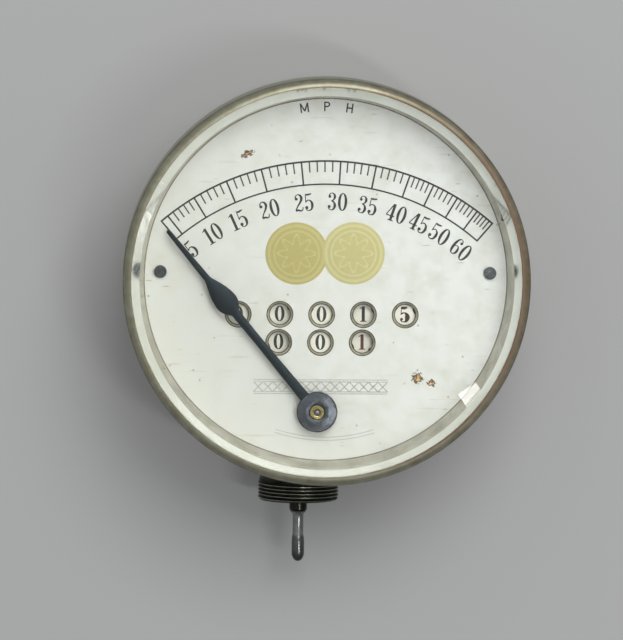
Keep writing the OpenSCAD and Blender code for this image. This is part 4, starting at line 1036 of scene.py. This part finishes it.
plate_glass = clear_glass("plate_glass", "#fdfdfb", 0.0)
ground_glass = clear_glass("ground_bevel_glass", "#e9ece2", 0.2)
glass_profile = [(0, glass_z), (glass_r, glass_z), (glass_r, glass_top - bevel), (glass_r - bevel, glass_top),
                 (0, glass_top)]
glass = turned("bevelled_glass", glass_profile, plate_glass, "case", "glass", "glass", steps=256,
               closed=False)
glass.data.materials.append(ground_glass)
for face in glass.data.polygons:
    face.material_index = 1 if 0.3 < face.normal.z < 0.95 else 0

# --- Bezel ---------------------------------------------------------------------------------------------
# A turned brass ring pushed over the case; its rounded lip comes down on the glass's bevel.
# Nickel plated, now olive-grey with brown stains and brown tarnished patches along the glass; painted shade
# darkens the gap under the lip and the outside of the lip, so the round between stays lighter.

bezel_r, bezel_bore, lip_round, lip_reach = 50.8, 49.4, 2.1, 0.75
lip_in = bezel_bore - lip_reach
grip_z = glass_top + glass_r - bevel - lip_in + 0.1
lip_z = grip_z + 1.6
bezel_profile = [(bezel_bore, rim_z - 4), (bezel_r - 0.3, rim_z - 4), (bezel_r, rim_z - 3.7)]
for k in range(13):
    a = math.pi / 2 * k / 12
    bezel_profile.append((bezel_r - lip_round + lip_round * math.cos(a),
                          lip_z - lip_round + lip_round * math.sin(a)))
bezel_profile += [(lip_in, lip_z - 0.05), (lip_in, grip_z), (bezel_bore, grip_z - lip_reach)]
stained_nickel = metal("stained_nickel_plate", "#abab96", "#938e78", 0.42, 3.5, 0.4, squash=around)
# Along the glass a brown band, partly tarnished metal and partly painted shade of the gap under the lip;
# round the outside of the lip a dark band of painted shade
tree = stained_nickel.node_tree
shader = tree.nodes["Principled BSDF"]
tone = shader.inputs["Base Color"].links[0].from_socket
place = add(tree, "ShaderNodeTexCoord").outputs["Object"]
flat = add(tree, "ShaderNodeMapping", {"Vector": place, "Scale": (1, 1, 0)})
reach = add(tree, "ShaderNodeVectorMath", {0: flat.outputs[0]}, operation="LENGTH")
blot = add(tree, "ShaderNodeTexNoise", {"Vector": place, "Scale": 1 / (2.5 * MM), "Detail": 5})
wander = add(tree, "ShaderNodeMath", {0: blot.outputs[0], 1: 0.8 * MM, 2: reach.outputs["Value"]},
             operation="MULTIPLY_ADD")
# Browner on the right, where hands have held it
handled = add(tree, "ShaderNodeVectorMath", {0: place, 1: (1, 0.2, 0)}, operation="DOT_PRODUCT")
handled = add(tree, "ShaderNodeMath", {0: blot.outputs[0], 1: 50 * MM, 2: handled.outputs["Value"]},
              operation="MULTIPLY_ADD")
right_side = add(tree, "ShaderNodeMapRange", {"Value": handled.outputs[0], "From Min": 10 * MM,
                                              "From Max": 60 * MM, "To Max": -0.7 * MM})
inner = add(tree, "ShaderNodeMath", {0: wander.outputs[0], 1: right_side.outputs[0]}, operation="ADD")
height = add(tree, "ShaderNodeSeparateXYZ", {0: place})
# The painted shade round the outside of the lip fades out down the bezel's side
lip_shade_fade = add(tree, "ShaderNodeMapRange", {"Value": height.outputs["Z"], "From Min": (lip_z - 6) * MM,
                                              "From Max": (lip_z - 2) * MM, "To Min": -0.8 * MM, "To Max": 0})
outer = add(tree, "ShaderNodeMath", {0: wander.outputs[0], 1: lip_shade_fade.outputs[0]}, operation="ADD")
# Each cover is a reading in millimetres, where it starts and is full, its share and its colour
covers = [(handled, 40, 80, 0.75, "#6a5238"), (inner, lip_in + 0.6, lip_in, 0.9, "#6b4f38"),
          (outer, bezel_r - 0.1, bezel_r + 0.25, 0.7, "#4f4e44")]
covered = None
for reading, start, end, share, colour in covers:
    part = add(tree, "ShaderNodeMapRange",
               {"Value": reading.outputs[0], "From Min": start * MM, "From Max": end * MM, "To Max": share})
    tone = add(tree, "ShaderNodeMix", {"Factor": part.outputs[0], "A": tone, "B": linear(colour)},
               data_type="RGBA").outputs["Result"]
    covered = add(tree, "ShaderNodeMath", {0: covered.outputs[0], 1: part.outputs[0]},
                  operation="MAXIMUM") if covered else part
dull = add(tree, "ShaderNodeMapRange", {"Value": covered.outputs[0], "To Min": 1.0, "To Max": 0.2})
feed(tree, shader, {"Base Color": tone, "Metallic": dull.outputs[0]})
turned("bezel_ring", bezel_profile, stained_nickel, "case", "bezel_metal", "bezel", steps=256)

# --- Studio --------------------------------------------------------------------------------------------
# A plain pale grey table under a weak sky, with a soft key lamp above the top right and two small lamps
# that give the drive tip and the glass their highlights.
# The camera looks down on the dial from a little above its top edge.

floor_size = 4.0
mesh = bpy.data.meshes.new("table")
half = floor_size / 2
mesh.from_pydata([(-half, -half, 0), (half, -half, 0), (half, half, 0), (-half, half, 0)], [], [(0, 1, 2, 3)])
paper, tree, shader, place = new_finish("grey_paper")
feed(tree, shader, {"Base Color": linear("#b8b8b8"), "Roughness": 0.9})
mesh.materials.append(paper)
table = put("table", mesh)


def soft_lamp(name, place, target, width, height, watts):
    """A rectangular softbox that faces a point."""
    lamp = bpy.data.lights.new(name, "AREA")
    lamp.shape, lamp.size, lamp.size_y, lamp.energy = "RECTANGLE", width, height, watts
    holder = put(name, lamp)
    holder.location = place
    holder.rotation_euler = (Vector(target) - Vector(place)).to_track_quat("-Z", "Y").to_euler()


soft_lamp("key_softbox", (0.23, 0.56, 1.03), (0, 0, 0.02), 0.66, 0.66, 5.9)
soft_lamp("highlight_softbox", (0.36, -0.2, 1.1), (0, -0.05, 0.02), 0.06, 0.38, 1.5)
soft_lamp("small_window_lamp", (0.1211, -0.177, 1.5), (0, 0, 0.02), 0.0105, 0.0165, 0.004)
world = bpy.data.worlds.new("soft_sky")
world.use_nodes = True
tree = world.node_tree
# Brighter overhead and towards the top left, and dimmer where the glass would mirror the camera
upward = add(tree, "ShaderNodeTexCoord")
facing = add(tree, "ShaderNodeVectorMath", {0: upward.outputs["Generated"], 1: (-0.4, 0.9, 0)},
             operation="DOT_PRODUCT")
glow = add(tree, "ShaderNodeMapRange", {"Value": facing.outputs["Value"], "From Min": -0.8,
                                                   "From Max": 0.8, "To Min": 0.7, "To Max": 1.3})
height = add(tree, "ShaderNodeSeparateXYZ", {0: upward.outputs["Generated"]})
rise = add(tree, "ShaderNodeMapRange",
           {"Value": height.outputs["Z"], "From Max": 0.9, "To Min": 0.32, "To Max": 0.52})
mirrored = add(tree, "ShaderNodeVectorMath",
               {0: upward.outputs["Generated"], 1: (0.03, -0.08, 0.9964)}, operation="DOT_PRODUCT")
shade = add(tree, "ShaderNodeMapRange", {"Value": mirrored.outputs["Value"], "From Min": 0.9945,
                                                    "From Max": 0.998, "To Min": 1.0, "To Max": 0.5})
for share in (rise, shade):
    glow = add(tree, "ShaderNodeMath", {0: glow.outputs[0], 1: share.outputs[0]},
               operation="MULTIPLY")
feed(tree, tree.nodes["Background"], {"Color": linear("#f2f4f5"), "Strength": glow.outputs[0]})
bpy.context.scene.world = world

view_mm, distance = 159.0, 1500.0
tilt, lean, roll = math.radians(5.0), math.radians(1.7), math.radians(0.45)
aim = Vector((-3.83, -9.1, 43.9)) * MM
back = Vector((-math.sin(lean), math.sin(tilt), math.cos(tilt) * math.cos(lean))).normalized()
lens = bpy.data.cameras.new("camera")
lens.sensor_fit, lens.sensor_width, lens.sensor_height = "AUTO", 36.0, 36.0
lens.lens = 36.0 * distance / view_mm
lens.clip_start, lens.clip_end = 0.05, 20.0
camera = put("camera", lens)
up = Matrix.Rotation(roll, 3, back) @ Vector((0, 1, 0))
right = up.cross(back).normalized()
up = back.cross(right)
camera.matrix_world = Matrix(((right.x, up.x, back.x, 0), (right.y, up.y, back.y, 0),
                              (right.z, up.z, back.z, 0), (0, 0, 0, 1)))
camera.location = aim + back * distance * MM
bpy.context.scene.camera = camera
bpy.context.scene.view_settings.view_transform = "Standard"
